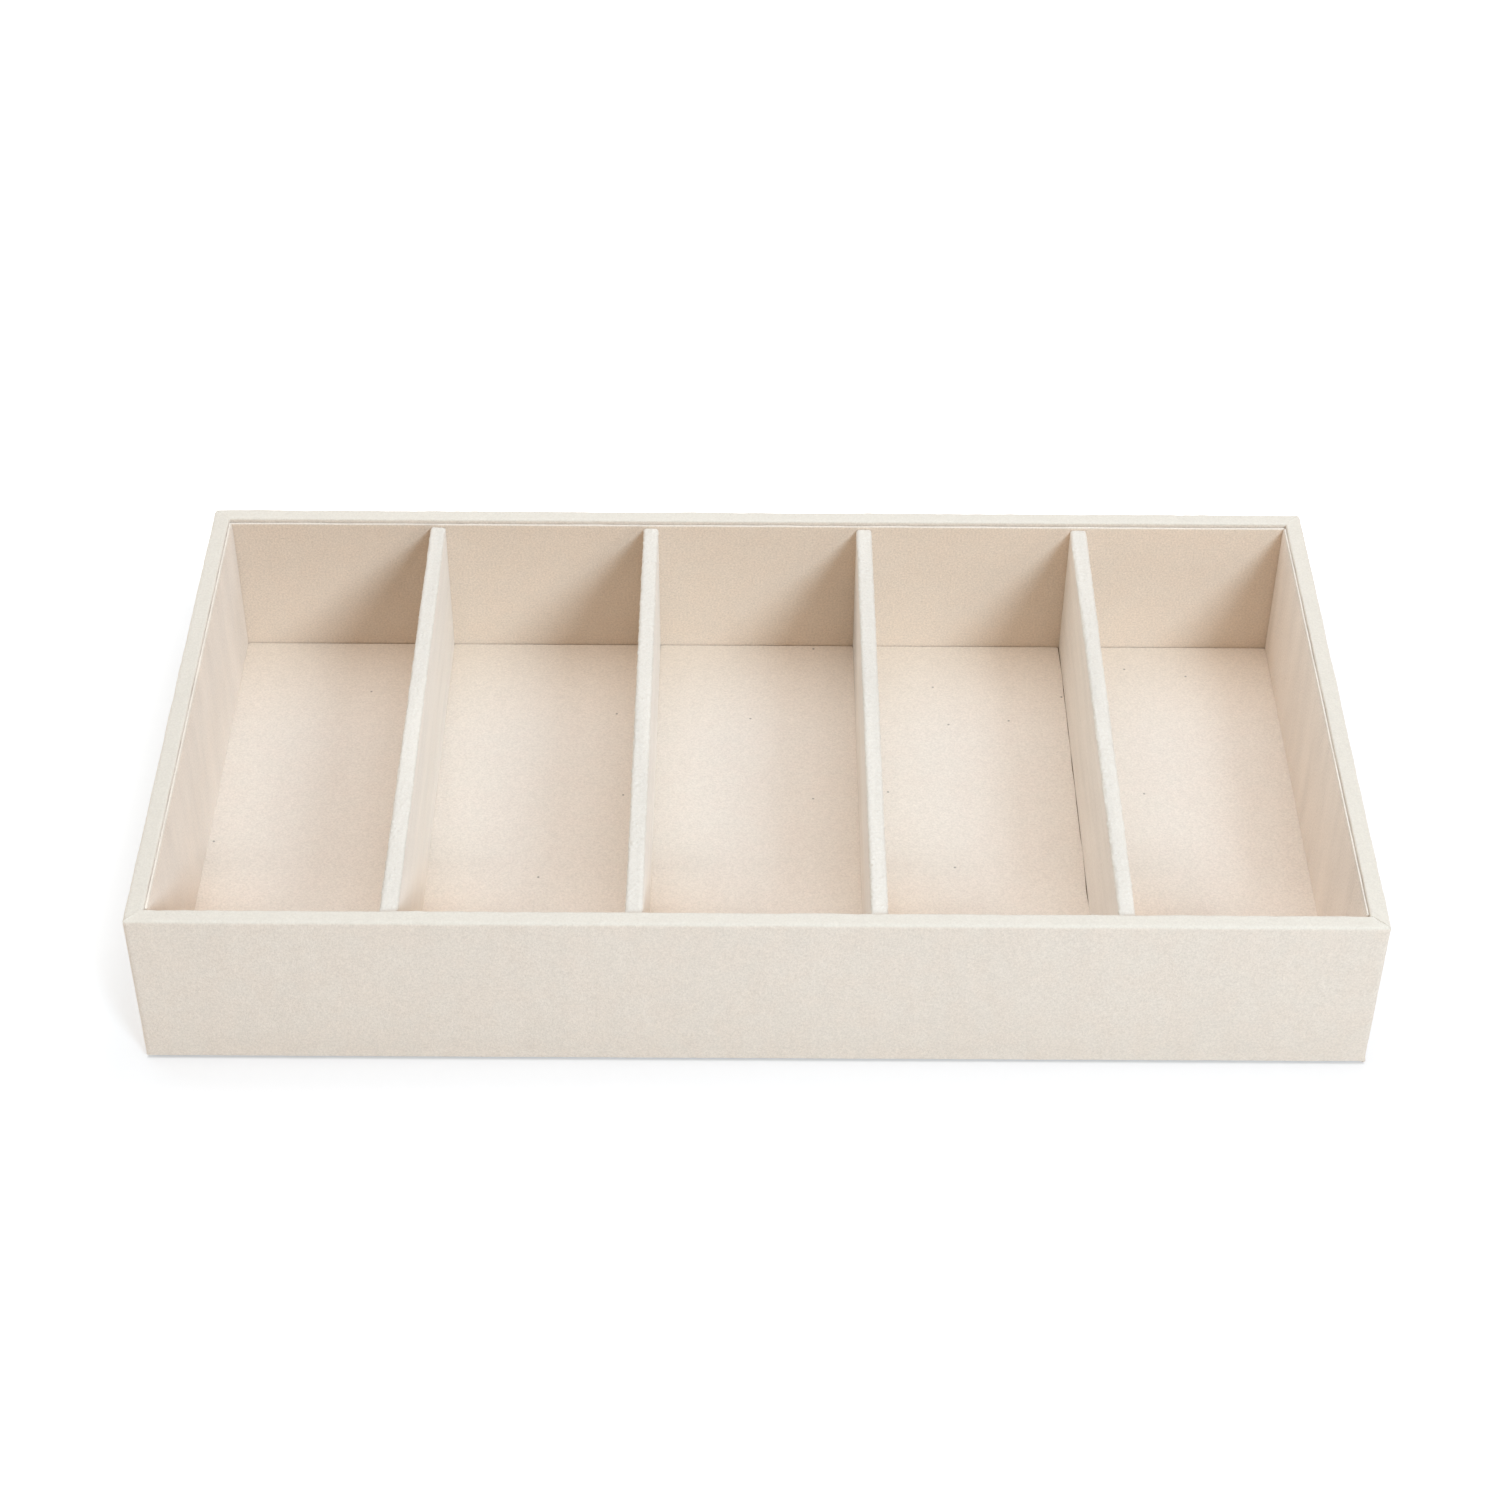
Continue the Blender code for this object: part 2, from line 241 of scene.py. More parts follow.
def mesh_object(name: str, points: np.ndarray, corners: np.ndarray,
                totals: np.ndarray) -> bpy.types.Object:
    """Object from flat arrays, shaded smooth but for its sharp edges.

    Args:
        name: The object's name.
        points: Places, as count x 3.
        corners: The numbers of the points at the corners of all faces, face after face.
        totals: How many corners each face has.

    Returns:
        The new object, in the scene.
    """
    mesh = bpy.data.meshes.new(name)
    mesh.vertices.add(len(points))
    mesh.vertices.foreach_set("co", points.astype(np.float32).ravel())
    mesh.loops.add(len(corners))
    mesh.loops.foreach_set("vertex_index", corners.astype(np.int32))
    mesh.polygons.add(len(totals))
    starts = np.concatenate([[0], np.cumsum(totals)[:-1]])
    mesh.polygons.foreach_set("loop_start", starts.astype(np.int32))
    mesh.update(calc_edges=True)
    mesh.validate()
    mesh.shade_smooth()
    mesh.set_sharp_from_angle(angle=SHARP_ANGLE)
    piece = bpy.data.objects.new(name, mesh)
    bpy.context.scene.collection.objects.link(piece)
    return piece


def spread(start: float, end: float, step: float) -> np.ndarray:
    """Even values from start up to, but without, end, at most step apart."""
    count = max(1, int(np.ceil(abs(end - start) / step)))
    return np.linspace(start, end, count, endpoint=False)


def unit(vector: np.ndarray) -> np.ndarray:
    """The vector at length 1."""
    return vector / np.linalg.norm(vector)


def folded_line(corners: list[tuple[float, float]], radii: list[float], step: float,
                arc_steps: int) -> np.ndarray:
    """Open line through right-angled corners, each rounded by a quarter circle.

    Args:
        corners: The line's points in its own plane.
        radii: Radius at each corner; the first and last are ends, and their radius is unused.
        step: Longest distance between points on a straight stretch.
        arc_steps: Faces in each quarter circle.

    Returns:
        The line's points, as count x 2.
    """
    points: list[np.ndarray] = []
    spots = np.array(corners, float)
    leave = spots[0]
    for index in range(1, len(spots)):
        last = index == len(spots) - 1
        radius = 0 if last else radii[index]
        ahead = unit(spots[index] - spots[index - 1])
        meet = spots[index] - ahead * radius
        share = spread(0, 1, step / max(np.linalg.norm(meet - leave), TINY))
        points.append(leave + (meet - leave) * share[:, None])
        if last:
            points.append(meet[None, :])
        elif radius > 0:
            onward = unit(spots[index + 1] - spots[index])
            turn = spread(0, pi / 2, pi / 2 / arc_steps)[:, None]
            points.append(meet + radius * (np.sin(turn) * ahead + (1 - np.cos(turn)) * onward))
            leave = spots[index] + onward * radius
        else:
            leave = meet
    return np.concatenate(points)


def rounded_section(width: float, height: float, radius: float, step: float,
                    arc_steps: int = 4) -> np.ndarray:
    """Closed outline of a rectangle about the origin with rounded corners, anticlockwise.

    Args:
        width: Full width.
        height: Full height.
        radius: Corner radius.
        step: Longest distance between points on the straight sides.
        arc_steps: Faces in each corner.

    Returns:
        The outline's points, as count x 2.
    """
    right, top = width / 2, height / 2
    corners = [(0, -top), (right, -top), (right, top), (-right, top), (-right, -top), (0, -top)]
    line = folded_line(corners, [0, radius, radius, radius, radius, 0], step, arc_steps)
    return line[:-1]


@dataclass(frozen=True)
class TraySizes:
    """Sizes of the tray, read from the boxes of the frame's nodes."""

    half_length: float
    half_depth: float
    top: float
    foot: float
    glue: float
    cover: float
    rim: float

    @classmethod
    def from_frame(cls) -> "TraySizes":
        """Read the sizes.

        The glue line is the gap over the base board, and the rim's inner face lies one glue
        line outside the lining.

        Returns:
            The sizes.
        """
        low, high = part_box("outer_wrap")
        board_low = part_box("front_wall_board")[0]
        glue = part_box("floor_pad_1")[0].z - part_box("base_board")[1].z
        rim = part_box("front_lining")[0].y - low.y - glue
        return cls(high.x, high.y, high.z, low.z, glue, board_low.y - low.y, rim)

    @property
    def halves(self) -> Span:
        """Half the length and half the depth."""
        return self.half_length, self.half_depth

    @property
    def suede(self) -> float:
        """Thickness of the suede: what covers the board, less the glue."""
        return self.cover - self.glue


@dataclass(frozen=True)
class Pattern:
    """A noise pattern in object space.

    The length is the size of its patches and the detail counts its octaves above the first,
    whose strength the roughness gives. The patches are longer along each axis by the stretch,
    and the shift makes a pattern unlike another of the same size.
    """

    length: float
    detail: float = 2
    stretch: Triple = (1, 1, 1)
    roughness: float = 0.5
    shift: Triple = (0, 0, 0)


@dataclass(frozen=True)
class Specks:
    """Sparse small dots, each near the middle of a cell of a random pattern.

    The size is a dot's radius, and the fade is where it fades out, in radii. The share is that of
    the cells that have a dot, and a level pattern is for a floor, where each dot then shows
    whole.
    """

    strength: float = 0.3
    spacing: float = 0.018
    size: float = 0.00016
    share: float = 0.5
    level: bool = False
    fade: Span = (0.5, 1.5)
    softness: float = 0.01


def opaque(colour: Triple) -> tuple[float, float, float, float]:
    """A colour with full alpha."""
    return (*colour, 1.0)


class Nodes:
    """Short way to lay out the nodes of a tree."""

    def __init__(self, tree: bpy.types.NodeTree) -> None:
        """Take the tree."""
        self.tree = tree

    def add(self, kind: str, inputs: dict[str | int, object] | None = None,
            **settings: object) -> bpy.types.Node:
        """Add a node.

        Args:
            kind: The node's type.
            inputs: What feeds its inputs, by their names or numbers.
            settings: Its properties, by name.

        Returns:
            The new node.
        """
        node = self.tree.nodes.new(kind)
        for key, value in settings.items():
            setattr(node, key, value)
        self.feed(node, inputs or {})
        return node

    def feed(self, node: bpy.types.Node, inputs: dict[str | int, object]) -> None:
        """Give a node's inputs links or plain values, whichever each one's value is.

        Args:
            node: The node.
            inputs: Values, by the inputs' names or numbers.
        """
        for key, value in inputs.items():
            if isinstance(value, bpy.types.NodeSocket):
                self.tree.links.new(value, node.inputs[key])
            else:
                node.inputs[key].default_value = value

    def sum(self, value: object, factor: object, added: object) -> bpy.types.NodeSocket:
        """value times factor plus added, as one node."""
        return self.math("MULTIPLY_ADD", value, factor, added)

    def math(self, operation: str, *values: object) -> bpy.types.NodeSocket:
        """A sum or another operation on numbers, each a link or a plain value."""
        return self.add("ShaderNodeMath", dict(enumerate(values)), operation=operation).outputs[0]

    def step(self, value: bpy.types.NodeSocket, low: float, high: float) -> bpy.types.NodeSocket:
        """Smooth step of a value, 0 below low and 1 above high."""
        return self.add("ShaderNodeMapRange", {"Value": value, "From Min": low, "From Max": high},
                        interpolation_type="SMOOTHSTEP").outputs["Result"]

    def mix(self, factor: object, first: object, second: object) -> bpy.types.NodeSocket:
        """Mix of two colours, each a link or a colour with its alpha."""
        node = self.add("ShaderNodeMix", {
            "Factor": factor, FIRST_COLOUR: first, SECOND_COLOUR: second}, data_type="RGBA")
        return node.outputs[MIXED_COLOUR]

    def seeing_ray(self) -> bpy.types.NodeSocket:
        """1 for the rays that find the white backdrop.

        They are those of the camera, those off glossy surfaces and those through clear ones.

        Returns:
            The largest of the three kinds' values.
        """
        path = self.add("ShaderNodeLightPath")
        seeing = path.outputs["Is Camera Ray"]
        for kind in ("Is Glossy Ray", "Is Transmission Ray"):
            seeing = self.math("MAXIMUM", seeing, path.outputs[kind])
        return seeing


class Graph(Nodes):
    """The nodes of a new material, with its Principled shader."""

    def __init__(self, name: str) -> None:
        """Start a material that holds only its shader and output.

        Args:
            name: The material's name.
        """
        self.material = bpy.data.materials.new(name)
        self.material.use_nodes = True
        super().__init__(self.material.node_tree)
        self.shader = self.tree.nodes["Principled BSDF"]
        self.place = self.add("ShaderNodeTexCoord").outputs["Object"]

    def noise(self, pattern: Pattern) -> bpy.types.NodeSocket:
        """A pattern's value at the place.

        Args:
            pattern: The pattern.

        Returns:
            The value, mostly near 0.5.
        """
        mapping = self.add("ShaderNodeMapping", {
            "Vector": self.place, "Scale": [1 / value for value in pattern.stretch],
            "Location": pattern.shift})
        return self.add("ShaderNodeTexNoise", {
            "Vector": mapping.outputs[0], "Scale": 1 / pattern.length,
            "Detail": pattern.detail, "Roughness": pattern.roughness}).outputs["Fac"]

    def scaled(self, colour: bpy.types.NodeSocket, value: object) -> bpy.types.NodeSocket:
        """A colour times a number."""
        return self.add("ShaderNodeVectorMath", {0: colour, "Scale": value},
                        operation="SCALE").outputs[0]

    def dots(self, specks: Specks) -> bpy.types.NodeSocket:
        """1 on a speck and 0 elsewhere.

        Args:
            specks: The specks' size and places.

        Returns:
            How near a cell's middle is, for the cells whose random red is above a threshold.
        """
        cells = self.add("ShaderNodeTexVoronoi",
                         {"Vector": self.place, "Scale": 1 / specks.spacing},
                         voronoi_dimensions="2D" if specks.level else "3D")
        chance = self.add("ShaderNodeSeparateColor", {"Color": cells.outputs["Color"]})
        away = self.step(cells.outputs["Distance"],
                         *(share * specks.size / specks.spacing for share in specks.fade))
        threshold = 1 - specks.share
        return self.sum(self.sum(away, -1, 1),
                        self.step(chance.outputs["Red"], threshold - specks.softness,
                                  threshold + specks.softness), 0)

    def attribute(self, label: str) -> bpy.types.NodeSocket:
        """A number that the piece's points carry."""
        return self.add("ShaderNodeAttribute", attribute_name=label).outputs["Fac"]

    def axes(self) -> bpy.types.NodeOutputs:
        """The place's x, y and z."""
        return self.add("ShaderNodeSeparateXYZ", {0: self.place}).outputs

    def bump(self, height: bpy.types.NodeSocket, distance: float) -> None:
        """Give the shader a bump of the height, whose full range is the distance."""
        node = self.add("ShaderNodeBump", {"Distance": distance, "Height": height})
        self.feed(self.shader, {"Normal": node.outputs["Normal"]})


@dataclass(frozen=True)
class SuedeFinish:
    """Faux suede: a brushed nap, streaked where brushed, with painted light on its tops."""

    name: str
    colour: Triple
    other_colour: Triple
    fold_painted_light_colour: Triple
    painted_tint_colour: Triple = (0.8, 0.75, 0.7)
    fold: Span = (1.0, 1.1)
    strokes: Pattern = Pattern(0.006, stretch=(1, 1, 6))
    stroke: float = 0.05
    mottling: Pattern = Pattern(0.0045, 3, shift=(0.3, 0.1, 0.2))
    mottle: float = 0.05
    grains: Pattern = Pattern(0.00075, roughness=0.75)
    grain: float = 0.44
    fold_grain: float = 0.6
    fibres: Pattern = Pattern(0.00035, stretch=(1, 1, 1.8), roughness=0.6)
    fibre_relief: float = 0.5
    relief: float = 0.00016
    drift: Pattern = Pattern(0.009, shift=(0.7, 0.4, 0.9))
    drift_span: Span = (0.35, 0.65)
    specks: Specks = Specks()
    roughness: float = 0.95
    gloss: float = 0.12
    sheen: float = 0.5
    sheen_roughness: float = 0.5
    sheen_tint: Triple = (1.0, 0.98, 0.95)

    def material(self) -> bpy.types.Material:
        """Build the material.

        The colour drifts between two near shades, turns towards a painted tint of light where the
        piece's points ask for it and towards a paler painted light on the tops and folds, and is
        scaled by brush strokes, mottling, grain and the piece's painted light and shade. The grain
        is weaker on the folds, and sparse specks darken the colour elsewhere.
        The bump is the nap's own grain over a soft mottling.

        Returns:
            The material.
        """
        graph = Graph(self.name)
        strokes, mottling, grains, fibres, drift = (graph.noise(pattern) for pattern in (
            self.strokes, self.mottling, self.grains, self.fibres, self.drift))
        colour = graph.mix(graph.step(drift, *self.drift_span), opaque(self.colour),
                           opaque(self.other_colour))
        # Painted tint of light, from the piece's points.
        colour = graph.mix(graph.attribute(PAINTED_TINT), colour, opaque(self.painted_tint_colour))
        # Painted light: the tops and folds, which face the lamps, turn to a paler, greyer colour.
        fold = graph.step(graph.axes()["Z"], *self.fold)
        colour = graph.mix(fold, colour, opaque(self.fold_painted_light_colour))
        shade = 1 - (self.stroke + self.mottle) / 2
        for pattern, amount in ((strokes, self.stroke), (mottling, self.mottle)):
            shade = graph.sum(pattern, amount, shade)
        strength = graph.sum(fold, self.grain * (self.fold_grain - 1), self.grain)
        shade = graph.sum(graph.sum(grains, 1.0, -0.5), strength, shade)
        # Painted light and shade, from the piece's points.
        shade = graph.sum(shade, graph.attribute(PAINTED_SHADE), 0.0)
        darkening = self.specks.strength
        dots = graph.sum(graph.dots(self.specks), graph.sum(fold, darkening, -darkening), 1)
        shade = graph.sum(shade, dots, 0)
        graph.feed(graph.shader, {
            "Base Color": graph.scaled(colour, shade), "Roughness": self.roughness,
            "Specular IOR Level": self.gloss, "Sheen Weight": self.sheen,
            "Sheen Roughness": self.sheen_roughness, "Sheen Tint": opaque(self.sheen_tint)})
        graph.bump(graph.sum(fibres, self.fibre_relief, graph.sum(grains, 1.0, mottling)),
                   self.relief)
        return graph.material


@dataclass(frozen=True)
class FibreFinish:
    """Matted or pressed fibres in two colours."""

    name: str
    colour: Triple
    dark_colour: Triple
    patterns: tuple[Pattern, ...]
    blend: Span
    relief: float
    roughness: float

    def material(self) -> bpy.types.Material:
        """Build the material: the patterns' mean mixes the two colours and makes the bump.

        Returns:
            The material.
        """
        graph = Graph(self.name)
        fibres, *crossing = (graph.noise(pattern) for pattern in self.patterns)
        if crossing:
            fibres = graph.sum(fibres, 0.5, graph.sum(crossing[0], 0.5, 0.0))
        colour = graph.mix(graph.step(fibres, *self.blend), opaque(self.dark_colour),
                           opaque(self.colour))
        graph.feed(graph.shader, {"Base Color": colour, "Roughness": self.roughness})
        graph.bump(fibres, self.relief)
        return graph.material


def dress(piece: bpy.types.Object, material: bpy.types.Material, slot: Slot,
          *nodes: str) -> bpy.types.Object:
    """Finish a piece: its material and its body, and hide the nodes that it stands for.

    Args:
        piece: The new piece, in place.
        material: Its material.
        slot: Not used.
        nodes: Names of the frame's nodes that it replaces.

    Returns:
        The same piece.
    """
    piece.data.materials.append(material)
    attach(piece, BODY)
    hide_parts(*nodes)
    faces = piece.data.polygons
    log.info("%s: %d points, %d faces", piece.name, len(piece.data.vertices), len(faces))
    return piece


@dataclass
class Boards:
    """The boards inside the tray. They keep the frame's shapes."""

    finish: FibreFinish

    def build(self) -> None:
        """Give each board the finish."""
        material = self.finish.material()
        names = ["base_board", *(side.word + "_wall_board" for side in Side),
                 *node_names("divider_core_")]
        for name in names:
            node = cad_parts[name]
            node.data.materials.clear()
            node.data.materials.append(material)
        log.info("boards: %d nodes", len(names))


@dataclass
class OuterWrap:
    """The suede strip round the outside, folded over the rim and under the foot.

    Of the bands, the rim's counts height from the top and the foot's from the ground, and the
    seam's distance from the corner. The stations near a mitre are in millimetres. The creases'
    shares are those of the front left, front right, back right and back left corners.
    """

    sizes: TraySizes
    finish: SuedeFinish
    turn_in: float = 0.015
    turn_under: float = 0.012
    corner_radius: float = 0.0016
    fold_radius: float = 0.0013
    inner_fold_radius: float = 0.0008
    face_step: float = 0.0022
    foot_arc_steps: int = 6
    rim_depth: float = 0.004
    rim_joint: float = 0.0005
    rim_step: float = 0.0006
    rim_arc_steps: int = 9
    path_step: float = 0.00125
    mitre_stations: tuple[float, ...] = (0, 0.05, 0.1, 0.16, 0.24, 0.36, 0.55, 0.85, 1.3, 1.9)
    rim_band: Span = (-0.0022, -0.0006)
    foot_band: Span = (0.004, 0.002)
    seam_band: Span = (0.02, 0.015)
    wavy: Unevenness = Unevenness(3, 0.009, 0.05)
    waviness: float = 0.00009
    wavy_face: float = 0.35
    lumpy: Unevenness = Unevenness(4, 0.0022, 0.008)
    lumpiness: float = 0.00005
    lumpy_face: float = 0.4
    crease_depth: float = 0.00034
    crease_width: float = 0.00015
    crease_shares: tuple[float, ...] = (0.8, 1.5, 0.5, 0.4)
    crease_fade: float = 0.65
    second_crease: float = 0.0007
    second_share: float = 0.5
    dip_share: float = 0.2
    dip_widening: float = 5
    overlap: float = 0.00010
    overlap_reach: float = 0.006
    # Painted light and shade: a darker left side with a highlight on its fold, a contact shadow at
    # the foot, and light low on the face, in the ends' inner folds and towards the back.
    left_shade: float = 0.973
    left_fold_painted_highlight: float = 0.30
    foot_painted_shadow: float = 0.62
    foot_height: float = 0.0010
    low_painted_light: float = 1.06
    low_reach: float = 0.006
    side_groove_painted_light: float = 1.05
    back_painted_light: float = 1.035

    def build(self) -> bpy.types.Object:
        """Make the strip as one closed skin and dress it.

        Returns:
            The skin.
        """
        section, outside = self._section()
        grid, mitre, faces = self._carry(section)
        grid = self._shape(grid, section, outside, mitre)
        skin = loft("suede_wrap", grid, shade=self._shade(grid, section, faces), closed=True)
        dress(skin, self.finish.material(), Slot.OUTER_SUEDE, "outer_wrap")
        return skin

    def _section(self) -> tuple[np.ndarray, np.ndarray]:
        """Closed section of the skin.

        The outer line runs from the turned-under edge out to the foot, up the face, over the
        rim and down behind the lining; the inner line is the same, one thickness in.

        Returns:
            The section as (inward, height) points, and which of them are outside.
        """
        size = self.sizes
        thick = size.suede
        end = size.top - self.turn_in
        fine = size.top - self.rim_depth
        outer = [(self.turn_under, size.foot), (0, size.foot), (0, size.top),
                 (size.rim, size.top), (size.rim, end)]
        inner = [(size.rim - thick, end), (size.rim - thick, size.top - thick),
                 (thick, size.top - thick), (thick, size.foot + thick),
                 (self.turn_under, size.foot + thick)]
        radius = self.fold_radius
        small = radius - thick
        under = folded_line(outer[:3], [0, radius, 0], self.face_step, self.foot_arc_steps)
        over = folded_line([(0, fine), *outer[2:]], [0, radius, self.inner_fold_radius, 0],
                           self.rim_step, self.rim_arc_steps)
        under = under[under[:, 1] < fine - self.rim_joint]
        over = over[(over[:, 1] > fine) | (over[:, 0] < size.rim / 2)]
        back = folded_line(inner, [0, self.inner_fold_radius - thick, small, small, 0],
                           HIDDEN_STEP, HIDDEN_ARC_STEPS)
        section = np.concatenate([under, over, [(size.rim, end)], back])
        return section, np.arange(len(section)) < len(section) - len(back)

    def _carry(self, section: np.ndarray) -> tuple[np.ndarray, np.ndarray, np.ndarray]:
        """Carry the section round the four sides.

        Along each side a point keeps its share of the way from the middle of the side to the
        mitre. The way is straight, then turns round the upright corner, whose radius shrinks
        with the distance inward until the corner is sharp.

        Args:
            section: The section's points.

        Returns:
            The grid of points, the signed distance of each station from its nearest mitre, and
            the angle that each station's side faces.
        """
        rows, mitres, faces = [], [], []
        for side in Side:
            half_run, half_reach = self.sizes.halves[side.run], self.sizes.halves[1 - side.run]
            share, distance = self._stations(half_run)
            u, v = self._side_points(share, section[:, 0], half_run, half_reach)
            turn = radians(side.value)
            x = v * cos(turn) - u * sin(turn)
            y = v * sin(turn) + u * cos(turn)
            z = np.broadcast_to(section[:, 1], x.shape)
            rows.append(np.stack([x, y, z], -1))
            mitres.append(distance)
            faces.append(np.full(len(distance), side.value))
        return np.concatenate(rows), np.concatenate(mitres), np.concatenate(faces)

    def _stations(self, half_run: float) -> tuple[np.ndarray, np.ndarray]:
        """Stations along a side, from one mitre up to, but without, the next.

        They crowd towards the mitres, where the crease is.

        Args:
            half_run: Half the side's length.

        Returns:
            Each station's share of the way, from -1 to 1, and its distance from the nearest
            mitre, negative before the middle of the side.
        """
        near = np.array(self.mitre_stations) * MILLIMETRE
        reach = half_run - self.corner_radius * (1 - pi / 4)
        far = spread(near[-1] + self.path_step, reach, self.path_step)
        half = np.concatenate([near, far])
        distance = np.concatenate([-half, [reach], half[:0:-1]])
        share = np.sign(distance) * (1 - np.abs(distance) / reach)
        share[0] = -1
        return share, distance

    def _side_points(self, share: np.ndarray, inward: np.ndarray, half_run: float,
                     half_reach: float) -> tuple[np.ndarray, np.ndarray]:
        """Places along (u) and out from (v) the middle of a side.

        Args:
            share: Each station's share of the way.
            inward: Each section point's distance inward.
            half_run: Half the side's length.
            half_reach: Distance of the side from the tray's middle.

        Returns:
            u and v, each as stations x section.
        """
        radius = np.maximum(self.corner_radius - inward, 0)[None, :]
        straight = half_run - np.maximum(self.corner_radius, inward)[None, :]
        arc = radius * pi / 4
        left = (1 - np.abs(share))[:, None] * (straight + arc)
        angle = pi / 4 - left / np.maximum(radius, TINY)
        turning = left < arc
        u = np.where(turning, straight + radius * np.sin(angle), straight - (left - arc))
        v = np.where(turning, half_reach - self.corner_radius + radius * np.cos(angle),
                     half_reach - inward[None, :])
        return np.sign(share)[:, None] * u, v

    def _shape(self, grid: np.ndarray, section: np.ndarray, outside: np.ndarray,
               mitre: np.ndarray) -> np.ndarray:
        """Move the outer line along its normals: unevenness, and the creases at the mitres.

        A crease is a narrow Gaussian groove in a wider, shallower one, deepest at the outer
        corner; past it one flap lies over the other and stands a little higher, fading away
        from the corner.

        Args:
            grid: The carried points.
            section: The section's points.
            outside: Which of them are outside.
            mitre: Signed distance of each station from its nearest mitre.

        Returns:
            The moved points.
        """
        size = self.sizes
        normal = surface_normals(grid, closed_rows=True)
        height = section[:, 1]
        on_rim = ramp(height - size.top, *self.rim_band)
        lift = 0
        for pattern, amount, face in ((self.wavy, self.waviness, self.wavy_face),
                                      (self.lumpy, self.lumpiness, self.lumpy_face)):
            lift = lift + amount * pattern.at(grid) * (face + (1 - face) * on_rim)
        gap = np.abs(mitre)[:, None]
        right, behind = grid[..., 0] > 0, grid[..., 1] > 0
        corner = np.where(behind, np.where(right, 2, 3), np.where(right, 1, 0))
        strength = np.array(self.crease_shares)[corner]
        second = bell(mitre[:, None] - self.second_crease, self.crease_width)
        groove = strength * self.crease_depth * (
            bell(gap, self.crease_width) + self.second_share * strength * second
            + self.dip_share * bell(gap, self.dip_widening * self.crease_width))
        flap = strength * (mitre > 0)[:, None] * bell(gap, self.overlap_reach)
        creased = np.maximum(on_rim, ramp(height, *self.foot_band))[None, :]
        fade = 1 - self.crease_fade * ramp(section[:, 0], 0, size.rim)
        weight = np.maximum(creased * fade, self._at_seam(grid))
        lift = lift + weight * (self.overlap * flap - groove)
        return grid + normal * (lift * outside[None, :])[..., None]

    def _shade(self, grid: np.ndarray, section: np.ndarray, faces: np.ndarray) -> np.ndarray:
        """Shade of the skin.

        The left side is darker by painted shade, with a painted highlight where its fold turns
        down. The face is paler low down by painted light, and the foot, where the skin turns
        under, is darker by a painted contact shadow. On the two ends the inner fold is paler by
        painted light, beside the panels, and so is all of the skin towards the back.

        Args:
            grid: The skin's points.
            section: The section's points.
            faces: The angle that each station's side faces.

        Returns:
            The shade of each point.
        """
        size = self.sizes
        is_left = (faces == Side.LEFT.value)[:, None]
        is_end = is_left | (faces == Side.RIGHT.value)[:, None]
        x, y, z = (grid[..., axis] for axis in range(3))
        # Painted highlight on the left side's outer fold, and painted contact shadow at the foot.
        painted_highlight = ramp(x + size.half_length, self.fold_radius, 0)
        inner = ramp(section[:, 0] - size.rim, -self.inner_fold_radius, 0)
        foot = ramp(z, self.foot_height, self.foot_height / 2)
        shade = np.where(is_left, self.left_shade + self.left_fold_painted_highlight * painted_highlight ** 2, 1.0)
        for amount, share in ((self.side_groove_painted_light, inner * is_end),
                              (self.back_painted_light, ramp(y, 0, size.half_depth)),
                              (self.low_painted_light, ramp(z, self.low_reach, 0)),
                              (self.foot_painted_shadow, foot)):
            shade = shade * (1 + (amount - 1) * share)
        return shade

    def _at_seam(self, grid: np.ndarray) -> np.ndarray:
        """1 near the back left corner, where the strip's ends meet, and 0 elsewhere."""
        corner = np.array([-self.sizes.half_length, self.sizes.half_depth])
        return ramp(np.linalg.norm(grid[..., :2] - corner, axis=-1), *self.seam_band)


@dataclass(frozen=True)
class FrontCorner:
    """Painted light on the low front corner of an upright face, cut off by a sloping line."""

    reach: float = 0.092
    slope: float = 1.25
    blur: float = 0.014

    def share(self, to_front: np.ndarray, height: np.ndarray) -> np.ndarray:
        """0 outside the corner and 1 inside, with a ramp as wide as the blur between."""
        return ramp(to_front + self.slope * height, self.reach, self.reach - self.blur)


